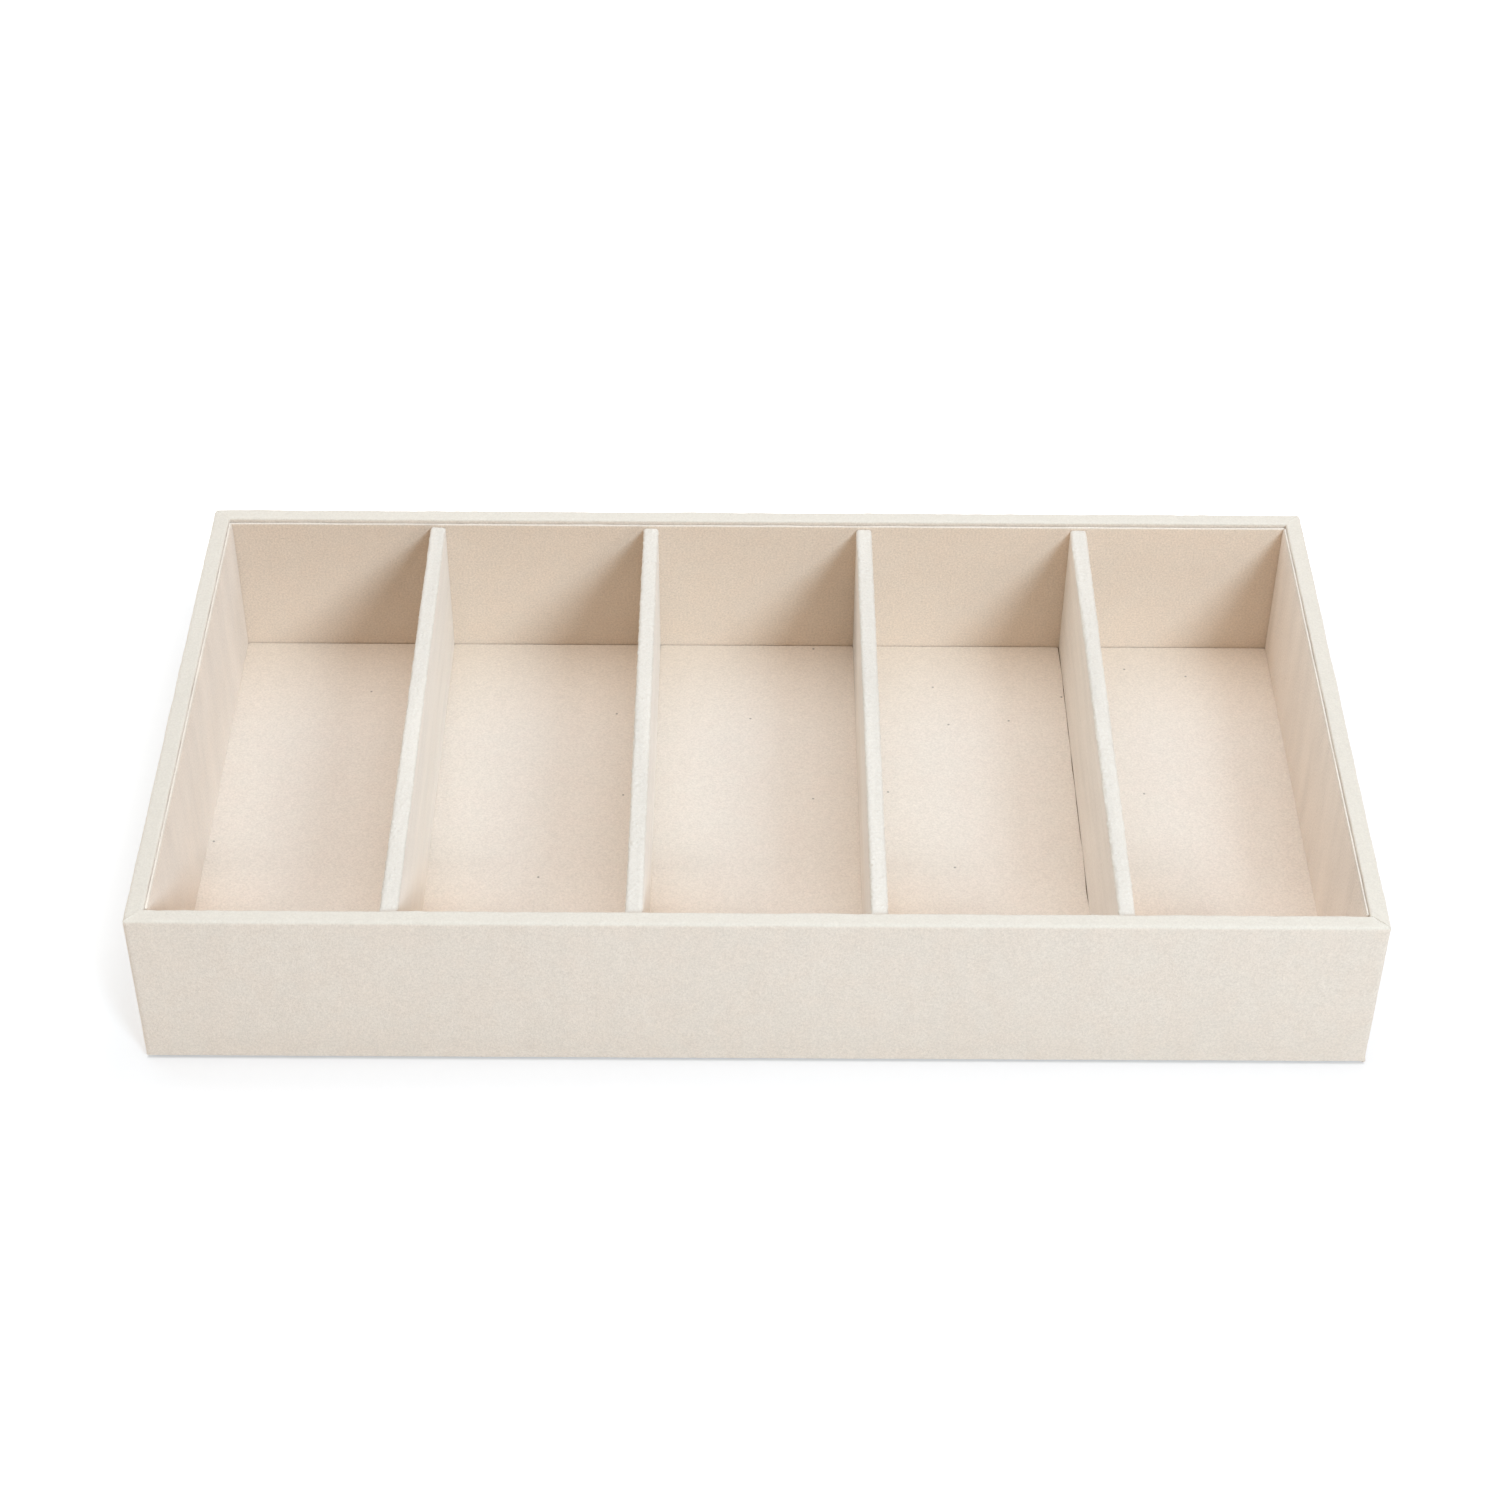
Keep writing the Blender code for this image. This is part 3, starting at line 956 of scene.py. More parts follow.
@dataclass
class Linings:
    """The covered panels on the four walls.

    The bands are shares of a panel's height, but for the edge's, which counts from the top in
    metres. The back panel's painted shadows are one for each compartment, from the left, and its
    diagonal is placed in shares of a compartment's width.
    """

    sizes: TraySizes
    finish: SuedeFinish
    edge_radius: float = 0.00044
    ease_shares: tuple[float, ...] = (0.9, 0.5, 0.15, 0)
    step: float = 0.0016
    wavy: Unevenness = Unevenness(200, 0.01, 0.06)
    waviness: float = 0.00007
    lumpy: Unevenness = Unevenness(201, 0.0025, 0.008)
    lumpiness: float = 0.000021
    side_swell: float = 0.00026
    side_rise: float = 0.00050
    side_taper: float = 0.00040
    taper_reach: float = 0.0030
    end_swell: float = 0.00004
    end_reach: float = 0.00020
    corner: FrontCorner = FrontCorner()
    # Painted light on the side panels' faces and low front corners, and painted shade on the right
    # one's top edge.
    left_shade: float = 1.02
    left_front_painted_light: float = 0.12
    # Painted tints of light that pale and cool the side panels towards the top, the right one also
    # towards the front.
    left_painted_tints: Span = (0.18, 0.48)
    left_painted_tint_band: Span = (0.45, 0.75)
    right_shade: float = 1.08
    right_front_painted_light: float = 0.06
    right_edge_shade: float = 0.98
    edge_band: Span = (-0.0015, -0.0005)
    right_painted_tint: float = 0.42
    right_forward_painted_tint: float = 0.42
    right_upward_painted_tint: float = 0.58
    # Painted light low on the front and back panels, and painted shadows of the dividers on the
    # back one.
    low_painted_light: float = 1.03
    low_band: Span = (0.7, 0)
    back_painted_shadows: tuple[float, ...] = (0.104, 0.086, 0.03, 0.05, 0.032)
    back_start: float = 0.2
    back_rise: float = 1.35
    back_fall: float = 0.6
    diagonal_painted_shadows: tuple[float, ...] = (0.085, 0.065, 0.025, 0.03, 0.02)
    diagonal_foot: float = 0.375
    diagonal_slope: float = 0.575
    diagonal_width: float = 0.452
    diagonal_taper: float = 0.412
    diagonal_least: float = 0.04
    diagonal_edge: Span = (1, 1 / 3)

    def build(self) -> list[bpy.types.Object]:
        """Make the four panels with one material."""
        material = self.finish.material()
        return [self._panel(side, material) for side in Side]

    def _panel(self, side: Side, material: bpy.types.Material) -> bpy.types.Object:
        """Make one panel.

        Args:
            side: The wall that it covers.
            material: The panels' material.

        Returns:
            The panel.
        """
        low, high = self._box(side)
        grid = outward(self._uneven(side, self._carry(side, low, high), low, high))
        piece = loft(side.word + "_wall_panel", grid, shade=self._shade(side, grid, high[2]),
                     painted_tint=self._painted_tint(side, grid, high[2]))
        return dress(piece, material, Slot.LINING_SUEDE, side.word + "_lining")

    def _box(self, side: Side) -> tuple[np.ndarray, np.ndarray]:
        """The panel's box: its node's, swollen towards the wall.

        On the side walls it is also a little longer and stands a little higher.

        Args:
            side: The panel's wall.

        Returns:
            The low and the high corner.
        """
        low, high = node_box(side.word + "_lining")
        wall = high if side in (Side.RIGHT, Side.BACK) else low
        across = 1 - side.run
        wall[across] += (self.side_swell if side.run else self.end_swell) * np.sign(wall[across])
        if side.run:
            low[1] -= self.end_reach
            high[1] += self.end_reach
            high[2] += self.side_rise
        return low, high

    def _carry(self, side: Side, low: np.ndarray, high: np.ndarray) -> np.ndarray:
        """Carry the rounded section along the wall, with its ends eased by a quarter circle.

        Args:
            side: The panel's wall.
            low: The box's low corner.
            high: The box's high corner.

        Returns:
            The points, as stations x section x 3.
        """
        middle = (low + high) / 2
        extent = high - low
        run, across = side.run, 1 - side.run
        section = rounded_section(extent[across], extent[2], self.edge_radius, self.step)
        straight = extent[run] / 2 - self.edge_radius
        ease = self.edge_radius * np.array(self.ease_shares)
        stations = spread(-straight, straight, self.step)[1:]
        place = np.concatenate([-straight - ease, stations, straight + ease[::-1]])
        inset = round_off(self.edge_radius, straight + self.edge_radius - np.abs(place))
        grid = np.zeros((len(place), len(section), 3))
        for axis, column in ((across, 0), (2, 1)):
            scale = 1 - 2 * inset[:, None] / extent[axis]
            grid[..., axis] = middle[axis] + section[None, :, column] * scale
        grid[..., run] = (middle[run] + place)[:, None]
        return grid

    def _uneven(self, side: Side, grid: np.ndarray, low: np.ndarray,
                high: np.ndarray) -> np.ndarray:
        """Make the top edge wavy, and thin the side panels towards it.

        There the room-side face leans out by the taper times a smooth step of the height.

        Args:
            side: The panel's wall.
            grid: The panel's points.
            low: The box's low corner.
            high: The box's high corner.

        Returns:
            The same grid, changed.
        """
        middle = (low + high) / 2
        lift = (self.waviness * self.wavy.at(grid, side.value)
                + self.lumpiness * self.lumpy.at(grid, side.value))
        grid[..., 2] += ramp(grid[..., 2], middle[2], high[2]) * lift
        if side.run:
            near = ramp(grid[..., 2], high[2] - self.taper_reach, high[2])
            half_thick = (high[0] - low[0]) / 2
            wallward = np.sign(middle[0])
            roomward = ramp((grid[..., 0] - middle[0]) * wallward, half_thick, -half_thick)
            grid[..., 0] += wallward * self.side_taper * roomward * near ** 2 * (3 - 2 * near)
        return grid

    def _shade(self, side: Side, grid: np.ndarray, top: float) -> np.ndarray:
        """Shade of a panel.

        The side panels are paler by painted light, most in their low front corners, and the right
        one's top edge is darker than its face by painted shade. The front and back panels are
        paler low down by painted light, and the back one carries painted shadows of the dividers
        in each compartment.

        Args:
            side: The panel's wall.
            grid: The panel's points.
            top: Height of its top.

        Returns:
            The shade of each point.
        """
        height = grid[..., 2]
        corner = self.corner.share(grid[..., 1] + self.sizes.half_depth - self.sizes.rim, height)
        if side is Side.LEFT:
            return self.left_shade + self.left_front_painted_light * corner
        if side is Side.RIGHT:
            face = self.right_shade + self.right_front_painted_light * corner
            return face + (self.right_edge_shade - face) * ramp(height - top, *self.edge_band)
        shade = 1 + (self.low_painted_light - 1) * ramp(height / top, *self.low_band)
        return shade - self._back_painted_shadow(grid, top) if side is Side.BACK else shade

    def _back_painted_shadow(self, grid: np.ndarray, top: float) -> np.ndarray:
        """How much painted shadow darkens the back panel.

        In each compartment the divider's painted shadow is darkest low down towards the right, and
        lies along a diagonal that rises from the middle of the floor to the top right corner and
        narrows on its way, where the shadow's soft edge falls.

        Args:
            grid: The panel's points.
            top: Height of its top.

        Returns:
            What the shade of each point loses to the painted shadow.
        """
        half_room = self.sizes.half_length - self.sizes.rim
        place = COMPARTMENTS / 2 * (grid[..., 0] / half_room + 1)
        compartment = np.clip(place.astype(int), 0, COMPARTMENTS - 1)
        share = place - compartment
        height = grid[..., 2] / top
        right = np.clip(self.back_rise * (share - self.back_start) - self.back_fall * height, 0, 1)
        width = np.maximum(self.diagonal_width - self.diagonal_taper * height, self.diagonal_least)
        off = np.abs(share - self.diagonal_foot - self.diagonal_slope * height) / width
        return (np.array(self.back_painted_shadows)[compartment] * right
                + np.array(self.diagonal_painted_shadows)[compartment] * ramp(off, *self.diagonal_edge))

    def _painted_tint(self, side: Side, grid: np.ndarray, top: float) -> np.ndarray:
        """How much of the painted tint of light shows, which pales and cools the colour.

        On the left panel it grows with the height, on the right one with the height and towards
        the front, and elsewhere it is nought.

        Args:
            side: The panel's wall.
            grid: The panel's points.
            top: Height of its top.

        Returns:
            The painted tint at each point, from 0 to 1.
        """
        height = grid[..., 2] / top
        if side is Side.LEFT:
            low, high = self.left_painted_tints
            return low + (high - low) * ramp(height, *self.left_painted_tint_band)
        if side is Side.RIGHT:
            forward = -grid[..., 1] / self.sizes.half_depth
            return np.clip(self.right_painted_tint + self.right_forward_painted_tint * forward
                           + self.right_upward_painted_tint * height, 0, 1)
        return np.zeros(grid.shape[:2])


@dataclass
class FloorPads:
    """The covered panels on the floors of the compartments.

    The gaps stay open beside a pad and at its ends, and a negative one presses in. The bands
    are places across or along a pad, from -1 at its left or front to 1.
    """

    sizes: TraySizes
    finish: SuedeFinish
    corner_radius: float = 0.0009
    corner_points: int = 8
    edge_radius: float = 0.00008
    end_thinning: float = 0.8
    step: float = 0.0012
    gap: float = -0.00003
    end_gap: float = 0.0003
    wander: Unevenness = Unevenness(30, 0.008, 0.04)
    wander_power: int = 8
    waviness: float = 0.00001
    loose_pad: int = 4
    loose_gap: float = 0.00016
    loose_waviness: float = 0.00012
    # Painted light and shade across and along the pads.
    level_shade: float = 0.036
    tilt_shade: float = 0.057
    middle_shade: float = 0.069
    streak_shade: float = 0.022
    streak_place: float = -0.22
    streak_width: float = 1.3
    corner_shade: float = 0.12
    corner_band: Span = (0, -2 / 3)
    front_painted_light: float = 0.04
    front_band: Span = (-0.2, -11 / 30)
    back_painted_light: float = 0.03
    back_band: Span = (0.6, 1.0)
    # Painted warm tint at the pads' backs: the back wall's reflected light.
    back_painted_tint: float = 0.8
    back_painted_tint_band: Span = (0.45, 0.95)

    def build(self) -> list[bpy.types.Object]:
        """Make one pad for each floor node, with one material."""
        material = self.finish.material()
        return [self._pad(name, material) for name in node_names("floor_pad_")]

    def _pad(self, node: str, material: bpy.types.Material) -> bpy.types.Object:
        """Make one pad.

        Args:
            node: The frame's node that it stands for.
            material: The pads' material.

        Returns:
            The pad.
        """
        low, high = node_box(node)
        room = np.array([self.sizes.glue - self.gap, self.sizes.glue - self.end_gap, 0])
        low, high = low - room, high + room
        middle = (low + high) / 2
        extent = high - low
        grid = outward(self._wandering(self._carry(middle, extent), middle, extent, int(node[-1])))
        across, along = (2 * (grid[..., axis] - middle[axis]) / extent[axis] for axis in (0, 1))
        # Painted warm tint towards the back: the back wall's reflected light.
        piece = loft("floor_panel_" + node[-1], grid, shade=self._shade(across, along),
                     painted_tint=self.back_painted_tint * ramp(along, *self.back_painted_tint_band))
        return dress(piece, material, Slot.LINING_SUEDE, node)

    def _carry(self, middle: np.ndarray, extent: np.ndarray) -> np.ndarray:
        """Carry a flat rounded section along Y.

        Near both ends its width follows the corner's quarter circle in plan, and its thickness
        the turned edge's.

        Args:
            middle: The pad's middle.
            extent: Its sizes along X, Y and Z.

        Returns:
            The points, as stations x section x 3.
        """
        section = rounded_section(extent[0], extent[2], self.edge_radius, self.step)
        half = extent[1] / 2
        corner = self.corner_radius
        ends = half - corner + corner * np.sin(np.linspace(pi / 2, 0, self.corner_points))
        inner = spread(-half + corner, half - corner, self.step)[1:]
        place = np.concatenate([-ends, inner, ends[::-1]])
        to_end = half - np.abs(place)
        narrow = round_off(corner, to_end)[:, None]
        thin = self.end_thinning * round_off(self.edge_radius, to_end)[:, None]
        grid = np.zeros((len(place), len(section), 3))
        grid[..., 0] = middle[0] + section[None, :, 0] * (1 - 2 * narrow / extent[0])
        grid[..., 1] = (middle[1] + place)[:, None]
        grid[..., 2] = middle[2] + section[None, :, 1] * (1 - 2 * thin / extent[2])
        return grid

    def _wandering(self, grid: np.ndarray, middle: np.ndarray, extent: np.ndarray,
                   number: int) -> np.ndarray:
        """Draw each long edge in by a little that varies, as on a hand-cut card.

        Args:
            grid: The pad's points.
            middle: The pad's middle.
            extent: Its sizes along X, Y and Z.
            number: The pad's number.

        Returns:
            The same grid, changed.
        """
        side = np.sign(grid[..., 0] - middle[0])
        edge = np.abs(grid[..., 0] - middle[0]) / (extent[0] / 2)
        loose = (side > 0) & (number == self.loose_pad)
        wander = self.wander.at(grid * np.array([0, 1, 0]) + side[..., None], number)
        slack = np.where(loose, self.loose_gap + self.loose_waviness * wander,
                         self.waviness * (1 + wander))
        grid[..., 0] -= side * edge ** self.wander_power * np.maximum(slack, 0)
        return grid

    def _shade(self, across: np.ndarray, along: np.ndarray) -> np.ndarray:
        """Shade of a pad.

        Painted light makes a pad a little paler towards its right, where the divider's shadow
        falls, at its two ends and in its front left corner, and painted shade makes it darker
        along its middle, with a faint dark streak on the left of it and a pale one on the right.

        Args:
            across: Each point's place across the pad, from -1 to 1.
            along: Its place along the pad, from -1 at the front to 1.

        Returns:
            The shade of each point.
        """
        front = ramp(along, *self.front_band)
        corner = front * ramp(across, *self.corner_band)
        back = ramp(along, *self.back_band)
        ends = self.front_painted_light * front + self.corner_shade * corner + self.back_painted_light * back
        bowl = self.level_shade - self.middle_shade * (1 - across ** 2)
        streak = self.streak_shade * np.cos(2 * pi * (across - self.streak_place)
                                            / self.streak_width)
        return 1 + self.tilt_shade * across + bowl + ends - streak


@dataclass
class Dividers:
    """The suede over the dividers' boards.

    The fits are in millimetres. The amounts in rows are one for each divider, from the left.
    The bands are shares of a divider's length, from the front, and the heights of its height.
    """

    sizes: TraySizes
    finish: SuedeFinish
    top_radius: float = 0.0012
    top_arc_steps: int = 6
    foot_arc_steps: int = 3
    seam: float = 0.0005
    top_reach: float = 0.004
    face_step: float = 0.004
    top_step: float = 0.0003
    path_step: float = 0.00045
    wavy: Unevenness = Unevenness(50, 0.006, 0.04)
    waviness: float = 0.00005
    wavy_face: float = 0.25
    tufts: Unevenness = Unevenness(60, 0.0010, 0.0023, 40)
    nap: float = 0.00008
    tuft_limit: float = 1.6
    end_radius: float = 0.00025
    end_points: int = 4
    end_narrowing: float = 0.6
    end_reach: float = 0.00025
    crown: float = 0.00025
    front_fit: tuple[Span, ...] = ((0, 0.6), (-0.1, 0.2), (-0.15, 0), (0.27, 0.35))
    back_fit: tuple[Span, ...] = ((-0.15, 0), (-0.1, 0), (-0.15, 0.1), (0.27, 0.8))
    face_share: float = 0.1
    edge_start: float = 0.95
    # Painted light and shade on the faces and the top edge.
    corner: FrontCorner = FrontCorner()
    front_painted_light: float = 0.17
    left_shades: tuple[float, ...] = (1.0, 1.0, 1.01, 1.045)
    left_back_shades: tuple[float, ...] = (0.0, 0.0, 0.32, 0.08)
    left_back_band: Span = (0.74, 0.91)
    left_back_heights: Span = (0.85, 0.5)
    right_back_shade: float = 0.045
    right_back_band: Span = (0.65, 0.85)
    back_edge_shade: float = 0.035
    # Painted tints of light that pale and cool the faces: the left ones towards the front and top,
    # the right ones towards the top.
    low_painted_tints: tuple[float, ...] = (0.6, 0.6, 0.52, 0.88)
    high_painted_tint: float = 0.98
    left_painted_tint_band: Span = (1.08, 0.28)
    left_painted_tint_heights: Span = (0.3, 0.6)
    right_painted_tint: float = 0.5
    right_painted_tint_heights: Span = (0.4, 0.9)

    def build(self) -> list[bpy.types.Object]:
        """Make the suede of each divider, with one material."""
        material = self.finish.material()
        return [self._wrap(name, material) for name in node_names("divider_wrap_")]

    def _wrap(self, node: str, material: bpy.types.Material) -> bpy.types.Object:
        """Make one divider's suede.

        Args:
            node: The frame's node that it stands for.
            material: The dividers' material.

        Returns:
            The suede.
        """
        low, high = node_box(node)
        low, high = low - (0, self.end_reach, 0), high + (0, self.end_reach, self.crown)
        half = (high[0] - low[0]) / 2
        number = int(node[-1])
        section, outside = self._section(half, low[2], high[2])
        place = self._stations(low[1], high[1])
        rise = (section[:, 1] - low[2]) / (high[2] - low[2])
        across = (section[None, :, 0] + half) / (2 * half)
        share = (place - low[1])[:, None] / (high[1] - low[1])
        grid = self._carry(section, place, rise, low, high)
        grid[..., 0] += self._stand_off(across, share, number) * rise[None, :]
        normal = surface_normals(grid, closed_rows=False)
        sign = facing(grid, normal)
        lift = self._lift(grid, ramp(section[:, 1], high[2] - self.top_reach, high[2]), number)
        grid = (grid + sign * normal * (lift * outside)[..., None])[:, ::-sign]
        corner = self.corner.share((place - low[1])[:, None], section[None, :, 1] - low[2])
        shade = self._shade(across, rise, share, corner, number)[:, ::-sign]
        painted_tint = self._painted_tint(across, rise, share, number)[:, ::-sign]
        piece = loft("divider_suede_" + node[-1], grid, shade=shade, painted_tint=painted_tint)
        dress(piece, material, Slot.DIVIDER_SUEDE, node)
        return piece

    def _section(self, half: float, foot: float, top: float) -> tuple[np.ndarray, np.ndarray]:
        """Closed section of the suede, with an open seam under the divider.

        Args:
            half: Half the divider's thickness.
            foot: Height of its foot.
            top: Height of its top.

        Returns:
            The section's points, and which of them are on the outside.
        """
        thick = self.sizes.suede
        gap = self.seam / 2
        radius = self.top_radius
        near = top - self.top_reach
        left = folded_line([(-gap, foot), (-half, foot), (-half, near)], [0, thick, 0],
                           self.face_step, self.foot_arc_steps)
        over = folded_line([(-half, near), (-half, top), (half, top), (half, near)],
                           [0, radius, radius, 0], self.top_step, self.top_arc_steps)
        right = folded_line([(half, near), (half, foot), (gap, foot)], [0, thick, 0],
                            self.face_step, self.foot_arc_steps)
        inner_half = half - thick
        small = radius - thick
        back = folded_line([(gap, foot + thick), (inner_half, foot + thick),
                            (inner_half, top - thick), (-inner_half, top - thick),
                            (-inner_half, foot + thick), (-gap, foot + thick)],
                           [0, 0, small, small, 0, 0], HIDDEN_STEP, HIDDEN_ARC_STEPS)
        outer = np.concatenate([left[:-1], over[:-1], right])
        section = np.concatenate([outer, back])
        return section, np.arange(len(section)) < len(outer)

    def _stations(self, start: float, end: float) -> np.ndarray:
        """Even places along the divider, crowded at the ends for their rounding.

        Args:
            start: Place of the front end.
            end: Place of the back end.

        Returns:
            The places.
        """
        even = np.linspace(start, end, int((end - start) / self.path_step))
        turn = np.linspace(0, pi / 2, self.end_points, endpoint=False)
        ease = self.end_radius * (1 - np.cos(turn))
        return np.concatenate([start + ease, even[2:-2], end - ease[::-1]])

    def _carry(self, section: np.ndarray, place: np.ndarray, rise: np.ndarray,
               low: np.ndarray, high: np.ndarray) -> np.ndarray:
        """Carry the section along Y, smaller at the ends by a quarter circle.

        Args:
            section: The section's points.
            place: The stations.
            rise: Each section point's share of the height.
            low: The box's low corner.
            high: The box's high corner.

        Returns:
            The points, as stations x section x 3.
        """
        to_end = np.minimum(place - low[1], high[1] - place)
        drop = round_off(self.end_radius, to_end)[:, None]
        narrow = self.end_narrowing * drop / ((high[0] - low[0]) / 2)
        grid = np.zeros((len(place), len(section), 3))
        grid[..., 0] = (low[0] + high[0]) / 2 + section[None, :, 0] * (1 - narrow)
        grid[..., 1] = place[:, None]
        grid[..., 2] = section[None, :, 1] - drop * rise[None, :]
        return grid

    def _stand_off(self, across: np.ndarray, share: np.ndarray, number: int) -> np.ndarray:
        """How far the suede stands off its board at the top, towards the right.

        Its left and right faces stand off by the fits, which change evenly from the front end
        to the back end.

        Args:
            across: Each section point's share of the way from left to right.
            share: Each station's share of the way from front to back.
            number: The divider's number.

        Returns:
            The distance at each point, in metres.
        """
        front, back = self.front_fit[number - 1], self.back_fit[number - 1]
        left, right = ((front[k] * (1 - share) + back[k] * share) * MILLIMETRE for k in (0, 1))
        return left + (right - left) * across

    def _lift(self, grid: np.ndarray, near_top: np.ndarray, number: int) -> np.ndarray:
        """How far the suede stands up along its normals: wavy, with tufts near the top.

        Args:
            grid: The points.
            near_top: How near the top each section point is, from 0 to 1.
            number: The divider's number.

        Returns:
            The distance at each point.
        """
        wavy = self.waviness * self.wavy.at(grid, number)
        fuzz = np.minimum(self.tufts.at(grid, number), self.tuft_limit)
        tufts = self.nap * (fuzz + np.maximum(fuzz, 0) ** 2)
        return near_top * (wavy + tufts) + self.wavy_face * wavy

    def _shade(self, across: np.ndarray, rise: np.ndarray, share: np.ndarray,
               corner: np.ndarray, number: int) -> np.ndarray:
        """Shade of the suede.

        The right face is paler by painted light in its low front corner and darker by painted
        shade at the back; the left one has its own painted light and is darker by painted shade
        low down at the back, and the top edge is paler by painted light at the back.

        Args:
            across: Each section point's share of the way from left to right.
            rise: Its share of the height.
            share: Each station's share of the way from front to back.
            corner: How far each point lies in the low front corner.
            number: The divider's number.

        Returns:
            The shade of each point.
        """
        below = rise < self.edge_start
        behind = ramp(share, *self.left_back_band) * ramp(rise, *self.left_back_heights)
        left = self.left_shades[number - 1] - 1 - self.left_back_shades[number - 1] * behind
        right = below * (self.front_painted_light * corner
                         - self.right_back_shade * ramp(share, *self.right_back_band))
        return (1 + left * (across < self.face_share) + right * (across > 1 - self.face_share)
                + self.back_edge_shade * share * (rise > self.edge_start))

    def _painted_tint(self, across: np.ndarray, rise: np.ndarray, share: np.ndarray,
              number: int) -> np.ndarray:
        """How much of the painted tint of light shows, which pales and cools the colour.

        On the left face it grows towards the front and, from the low value, with the height, and
        on the right face with the height.

        Args:
            across: Each section point's share of the way from left to right.
            rise: Its share of the height.
            share: Each station's share of the way from front to back.
            number: The divider's number.

        Returns:
            The painted tint at each point, from 0 to 1.
        """
        low = self.low_painted_tints[number - 1]
        upward = low + (self.high_painted_tint - low) * ramp(rise, *self.left_painted_tint_heights)
        left = ramp(share, *self.left_painted_tint_band) * upward
        right = self.right_painted_tint * ramp(rise, *self.right_painted_tint_heights)
        return left * (across < self.face_share) + right * (across > 1 - self.face_share)


@dataclass
class Underside:
    """The cloth that closes the underside.

    The profile of its edge is (inset, height) points, as shares of its thickness.
    """

    finish: FibreFinish
    corner_radius: float = 0.003
    corner_arc_steps: int = 6
    step: float = 0.004
    profile: tuple[Span, ...] = ((0.24, 0), (0, 0.25), (0, 0.75), (0.24, 1))

    def build(self) -> bpy.types.Object:
        """Make the cloth as a flat sheet with rounded corners, which the tray stands on.

        Returns:
            The cloth.
        """
        low, high = node_box("underside_lining")
        extent = high - low
        outline = rounded_section(extent[0], extent[1], self.corner_radius, self.step,
                                  self.corner_arc_steps)
        rings = []
        for inset, height in self.profile:
            flat = outline * (1 - inset * extent[2] / extent[:2])
            rings.append(np.column_stack([flat, np.full(len(flat), low[2] + height * extent[2])]))
        piece = loft("underside_cloth", outward(np.stack(rings)))
        dress(piece, self.finish.material(), Slot.UNDERSIDE_CLOTH, "underside_lining")
        return piece


@dataclass(frozen=True)
class Softbox:
    """A round, soft studio light that is aimed at the tray."""

    name: str
    way: Triple
    distance: float
    size: float
    strength: float
    colour: Triple

    def hang(self) -> None:
        """Hang the light.

        A disc of power P at a distance d lights a surface that faces it as brightly as an even
        white sky of strength P / (pi d)^2 does, which gives the power.
        """
        data = bpy.data.lights.new(self.name, "AREA")
        data.shape = "DISK"
        data.size = self.size
        data.energy = self.strength * (pi * self.distance) ** 2
        data.color = self.colour
        light = bpy.data.objects.new(self.name, data)
        way = Vector(self.way).normalized()
        light.location = way * self.distance
        light.rotation_euler = (-way).to_track_quat("-Z", "Y").to_euler()
        bpy.context.scene.collection.objects.link(light)


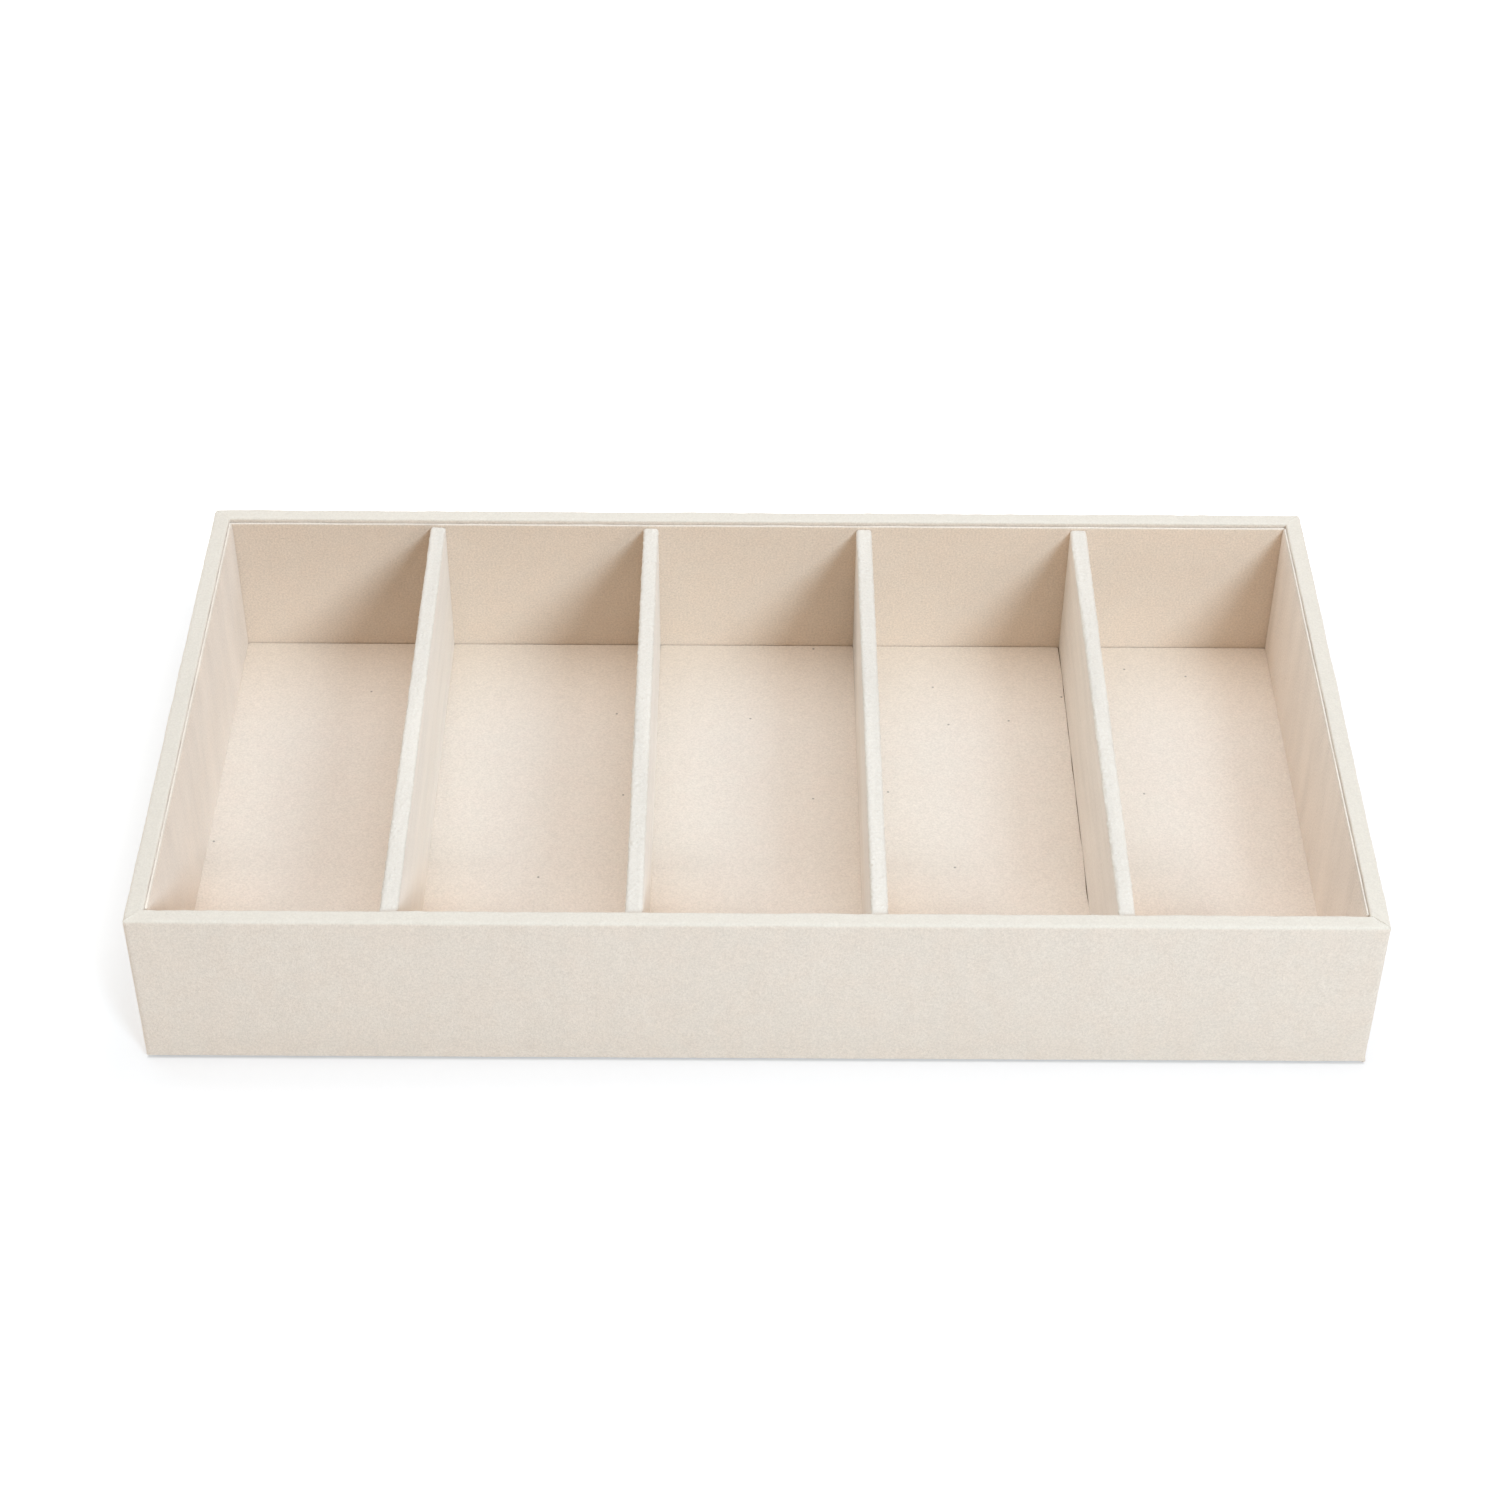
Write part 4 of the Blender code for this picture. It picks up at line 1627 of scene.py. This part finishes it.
@dataclass
class Studio:
    """The photograph's camera, soft studio light and a white floor.

    The focal length and the width are in the photograph's pixels, the angles in degrees. The
    floor glows for the camera by the first of the glows under the tray, and by each next one
    from the end of the next reach outwards.
    """

    photo_width: float = 1500
    focal_pixels: float = 3008.3
    sensor: float = 36.0
    clip_start: float = 0.01
    pitch: float = 41.33
    yaw: float = 0.049
    roll: float = -0.332
    eye: Triple = (-0.0031, -0.7945, 0.7401)
    lights: tuple[Softbox, ...] = (
        Softbox("key", (0.58, -1.1, 0.82), 1.9, 0.5, 0.572, (0.71, 0.87, 1.0)),
        Softbox("overhead", (0.0, 0.19, 1.0), 1.6, 2.0, 0.765, (0.756, 0.866, 1.0)),
        Softbox("fill", (-1.0, 0.7, 0.25), 2.0, 1.2, 0.18, (0.50, 0.80, 1.0)))
    sky: float = 0.472
    sky_colour: Triple = (1.0, 0.73, 0.475)
    floor_reach: float = 3.0
    floor_drop: float = 0.00005
    bounce_tone: Triple = (0.85, 0.85, 0.85)
    floor_tone: Triple = (0.485, 0.496, 0.512)
    # Painted shadow colour: a cooler glow on the floor left of the tray.
    left_tint: Triple = (0.965, 0.992, 1.0)
    left_tint_reach: Span = (-0.222, -0.196)
    # The lower glows near the tray paint a contact shadow.
    glows: tuple[float, ...] = (0.31, 0.50, 0.505, 0.99)
    glow_reaches: tuple[Span, ...] = ((-0.0008, 0.0002), (0.002, 0.006), (0.008, 0.07))

    def build(self) -> None:
        """Place camera, lights and floor."""
        self._camera()
        for light in self.lights:
            light.hang()
        self._world()
        self._floor()
        bpy.context.scene.view_settings.view_transform = "Standard"

    def _camera(self) -> None:
        """Place the camera by its place and its three angles."""
        data = bpy.data.cameras.new("camera")
        data.sensor_width = self.sensor
        data.lens = self.sensor * self.focal_pixels / self.photo_width
        data.clip_start = self.clip_start
        pitch, yaw, roll = (radians(angle) for angle in (self.pitch, self.yaw, self.roll))
        ahead = Vector((sin(yaw) * cos(pitch), cos(yaw) * cos(pitch), -sin(pitch)))
        level = Vector((cos(yaw), -sin(yaw), 0))
        down = ahead.cross(level)
        right = cos(roll) * level + sin(roll) * down
        down = cos(roll) * down - sin(roll) * level
        camera = bpy.data.objects.new("camera", data)
        place = Matrix((right, -down, -ahead)).transposed().to_4x4()
        place.translation = Vector(self.eye)
        camera.matrix_world = place
        bpy.context.scene.collection.objects.link(camera)
        bpy.context.scene.camera = camera

    def _world(self) -> None:
        """White where it is looked at, and a plain even light for everything else."""
        world = bpy.data.worlds.new("studio")
        world.use_nodes = True
        nodes = Nodes(world.node_tree)
        seeing = nodes.seeing_ray()
        strength = nodes.add("ShaderNodeMapRange",
                             {"Value": seeing, "To Min": self.sky, "To Max": 1.0})
        colour = nodes.mix(seeing, opaque(self.sky_colour), opaque(WHITE))
        nodes.feed(world.node_tree.nodes["Background"],
                   {"Color": colour, "Strength": strength.outputs["Result"]})
        bpy.context.scene.world = world

    def _floor(self) -> None:
        """White floor that keeps a faint shadow for the camera and bounces light for the rest.

        For the camera it also glows, less the nearer it is to the tray, which paints a soft
        contact shadow, and the glow is a little cooler on the left, which paints the colour of the
        tray's shadow there.
        """
        mesh = bpy.data.meshes.new("floor")
        mesh.from_pydata([(x * self.floor_reach, y * self.floor_reach, -self.floor_drop)
                          for x, y in ((-1, -1), (1, -1), (1, 1), (-1, 1))], [], [(0, 1, 2, 3)])
        floor = bpy.data.objects.new("floor", mesh)
        bpy.context.scene.collection.objects.link(floor)
        graph = Graph("floor")
        seeing = graph.seeing_ray()
        axes = graph.axes()
        gap = self._gap(graph, axes)
        glow: object = self.glows[0]
        for inner, outer, reach in zip(self.glows, self.glows[1:], self.glow_reaches):
            glow = graph.sum(graph.step(gap, *reach), outer - inner, glow)
        graph.feed(graph.shader, {
            "Base Color": graph.mix(seeing, opaque(self.bounce_tone), opaque(self.floor_tone)),
            "Roughness": 1.0, "Specular IOR Level": 0.0,
            "Emission Color": graph.mix(graph.step(axes[0], *self.left_tint_reach),
                                        opaque(self.left_tint), opaque(WHITE)),
            "Emission Strength": graph.sum(seeing, glow, 0.0)})
        mesh.materials.append(graph.material)

    @staticmethod
    def _gap(graph: Graph, axes: bpy.types.NodeOutputs) -> bpy.types.NodeSocket:
        """Distance of a floor point from the tray's outline.

        Args:
            graph: The floor's nodes.
            axes: The point's x and y.

        Returns:
            The larger of its distances outside the two spans.
        """
        low, high = (Vector(corner) for corner in cad_box)
        gaps = [graph.sum(graph.math("ABSOLUTE", axes[axis]), 1.0, (low[axis] - high[axis]) / 2)
                for axis in range(2)]
        return graph.math("MAXIMUM", *gaps)


FIBREBOARD = FibreFinish(
    "fibreboard", colour=(0.42, 0.27, 0.15), dark_colour=(0.27, 0.16, 0.08),
    patterns=(Pattern(0.0012, 5, (3, 1, 1), 0.65),), blend=(0.35, 0.65), relief=0.0001,
    roughness=0.85)
UNDERSIDE_FELT = FibreFinish(
    "underside_felt", colour=(0.70, 0.64, 0.54), dark_colour=(0.60, 0.53, 0.43),
    patterns=(Pattern(0.0009, 6, (2.5, 1, 1), 0.7),
              Pattern(0.0009, 6, (1, 2.5, 1), 0.7, (0.2, 0.5, 0.1))),
    blend=(0.38, 0.62), relief=0.00012, roughness=0.95)
OUTER = SuedeFinish(
    "outer_suede", colour=(0.739, 0.669, 0.595), other_colour=(0.734, 0.674, 0.604),
    fold_painted_light_colour=(0.747, 0.721, 0.653), fold=(0.0625, 0.0633), mottle=0.03)
WALL_LINING = SuedeFinish(
    "wall_lining_suede", colour=(0.787, 0.672, 0.564), other_colour=(0.778, 0.672, 0.568),
    fold_painted_light_colour=(0.820, 0.770, 0.695), painted_tint_colour=(0.850, 0.785, 0.720),
    fold=(0.0614, 0.0620), strokes=Pattern(0.011, stretch=(40, 1, 6)), stroke=0.30, grain=0.60)
FLOOR_LINING = SuedeFinish(
    "floor_lining_suede", colour=(0.829, 0.756, 0.679), other_colour=(0.823, 0.759, 0.682),
    fold_painted_light_colour=(0.80, 0.76, 0.69), painted_tint_colour=(0.860, 0.757, 0.644),
    strokes=Pattern(0.006, stretch=(1, 5, 1)), stroke=0.03, mottle=0.03,
    specks=Specks(0.55, 0.024, 0.00040, 0.22, level=True))
DIVIDER = SuedeFinish(
    "divider_suede", colour=(0.820, 0.737, 0.640), other_colour=(0.815, 0.742, 0.646),
    fold_painted_light_colour=(0.760, 0.739, 0.686), painted_tint_colour=(0.922, 0.884, 0.832),
    fold=(0.0592, 0.0604), strokes=Pattern(0.0045, stretch=(1, 12, 1.6)), stroke=0.26)


def main() -> None:
    """Build the studio and the tray."""
    logging.basicConfig(level=logging.INFO, format="%(name)s: %(message)s")
    sizes = TraySizes.from_frame()
    Studio().build()
    Boards(FIBREBOARD).build()
    OuterWrap(sizes, OUTER).build()
    Linings(sizes, WALL_LINING).build()
    FloorPads(sizes, FLOOR_LINING).build()
    Dividers(sizes, DIVIDER).build()
    Underside(UNDERSIDE_FELT).build()


if __name__ == "__main__":
    main()
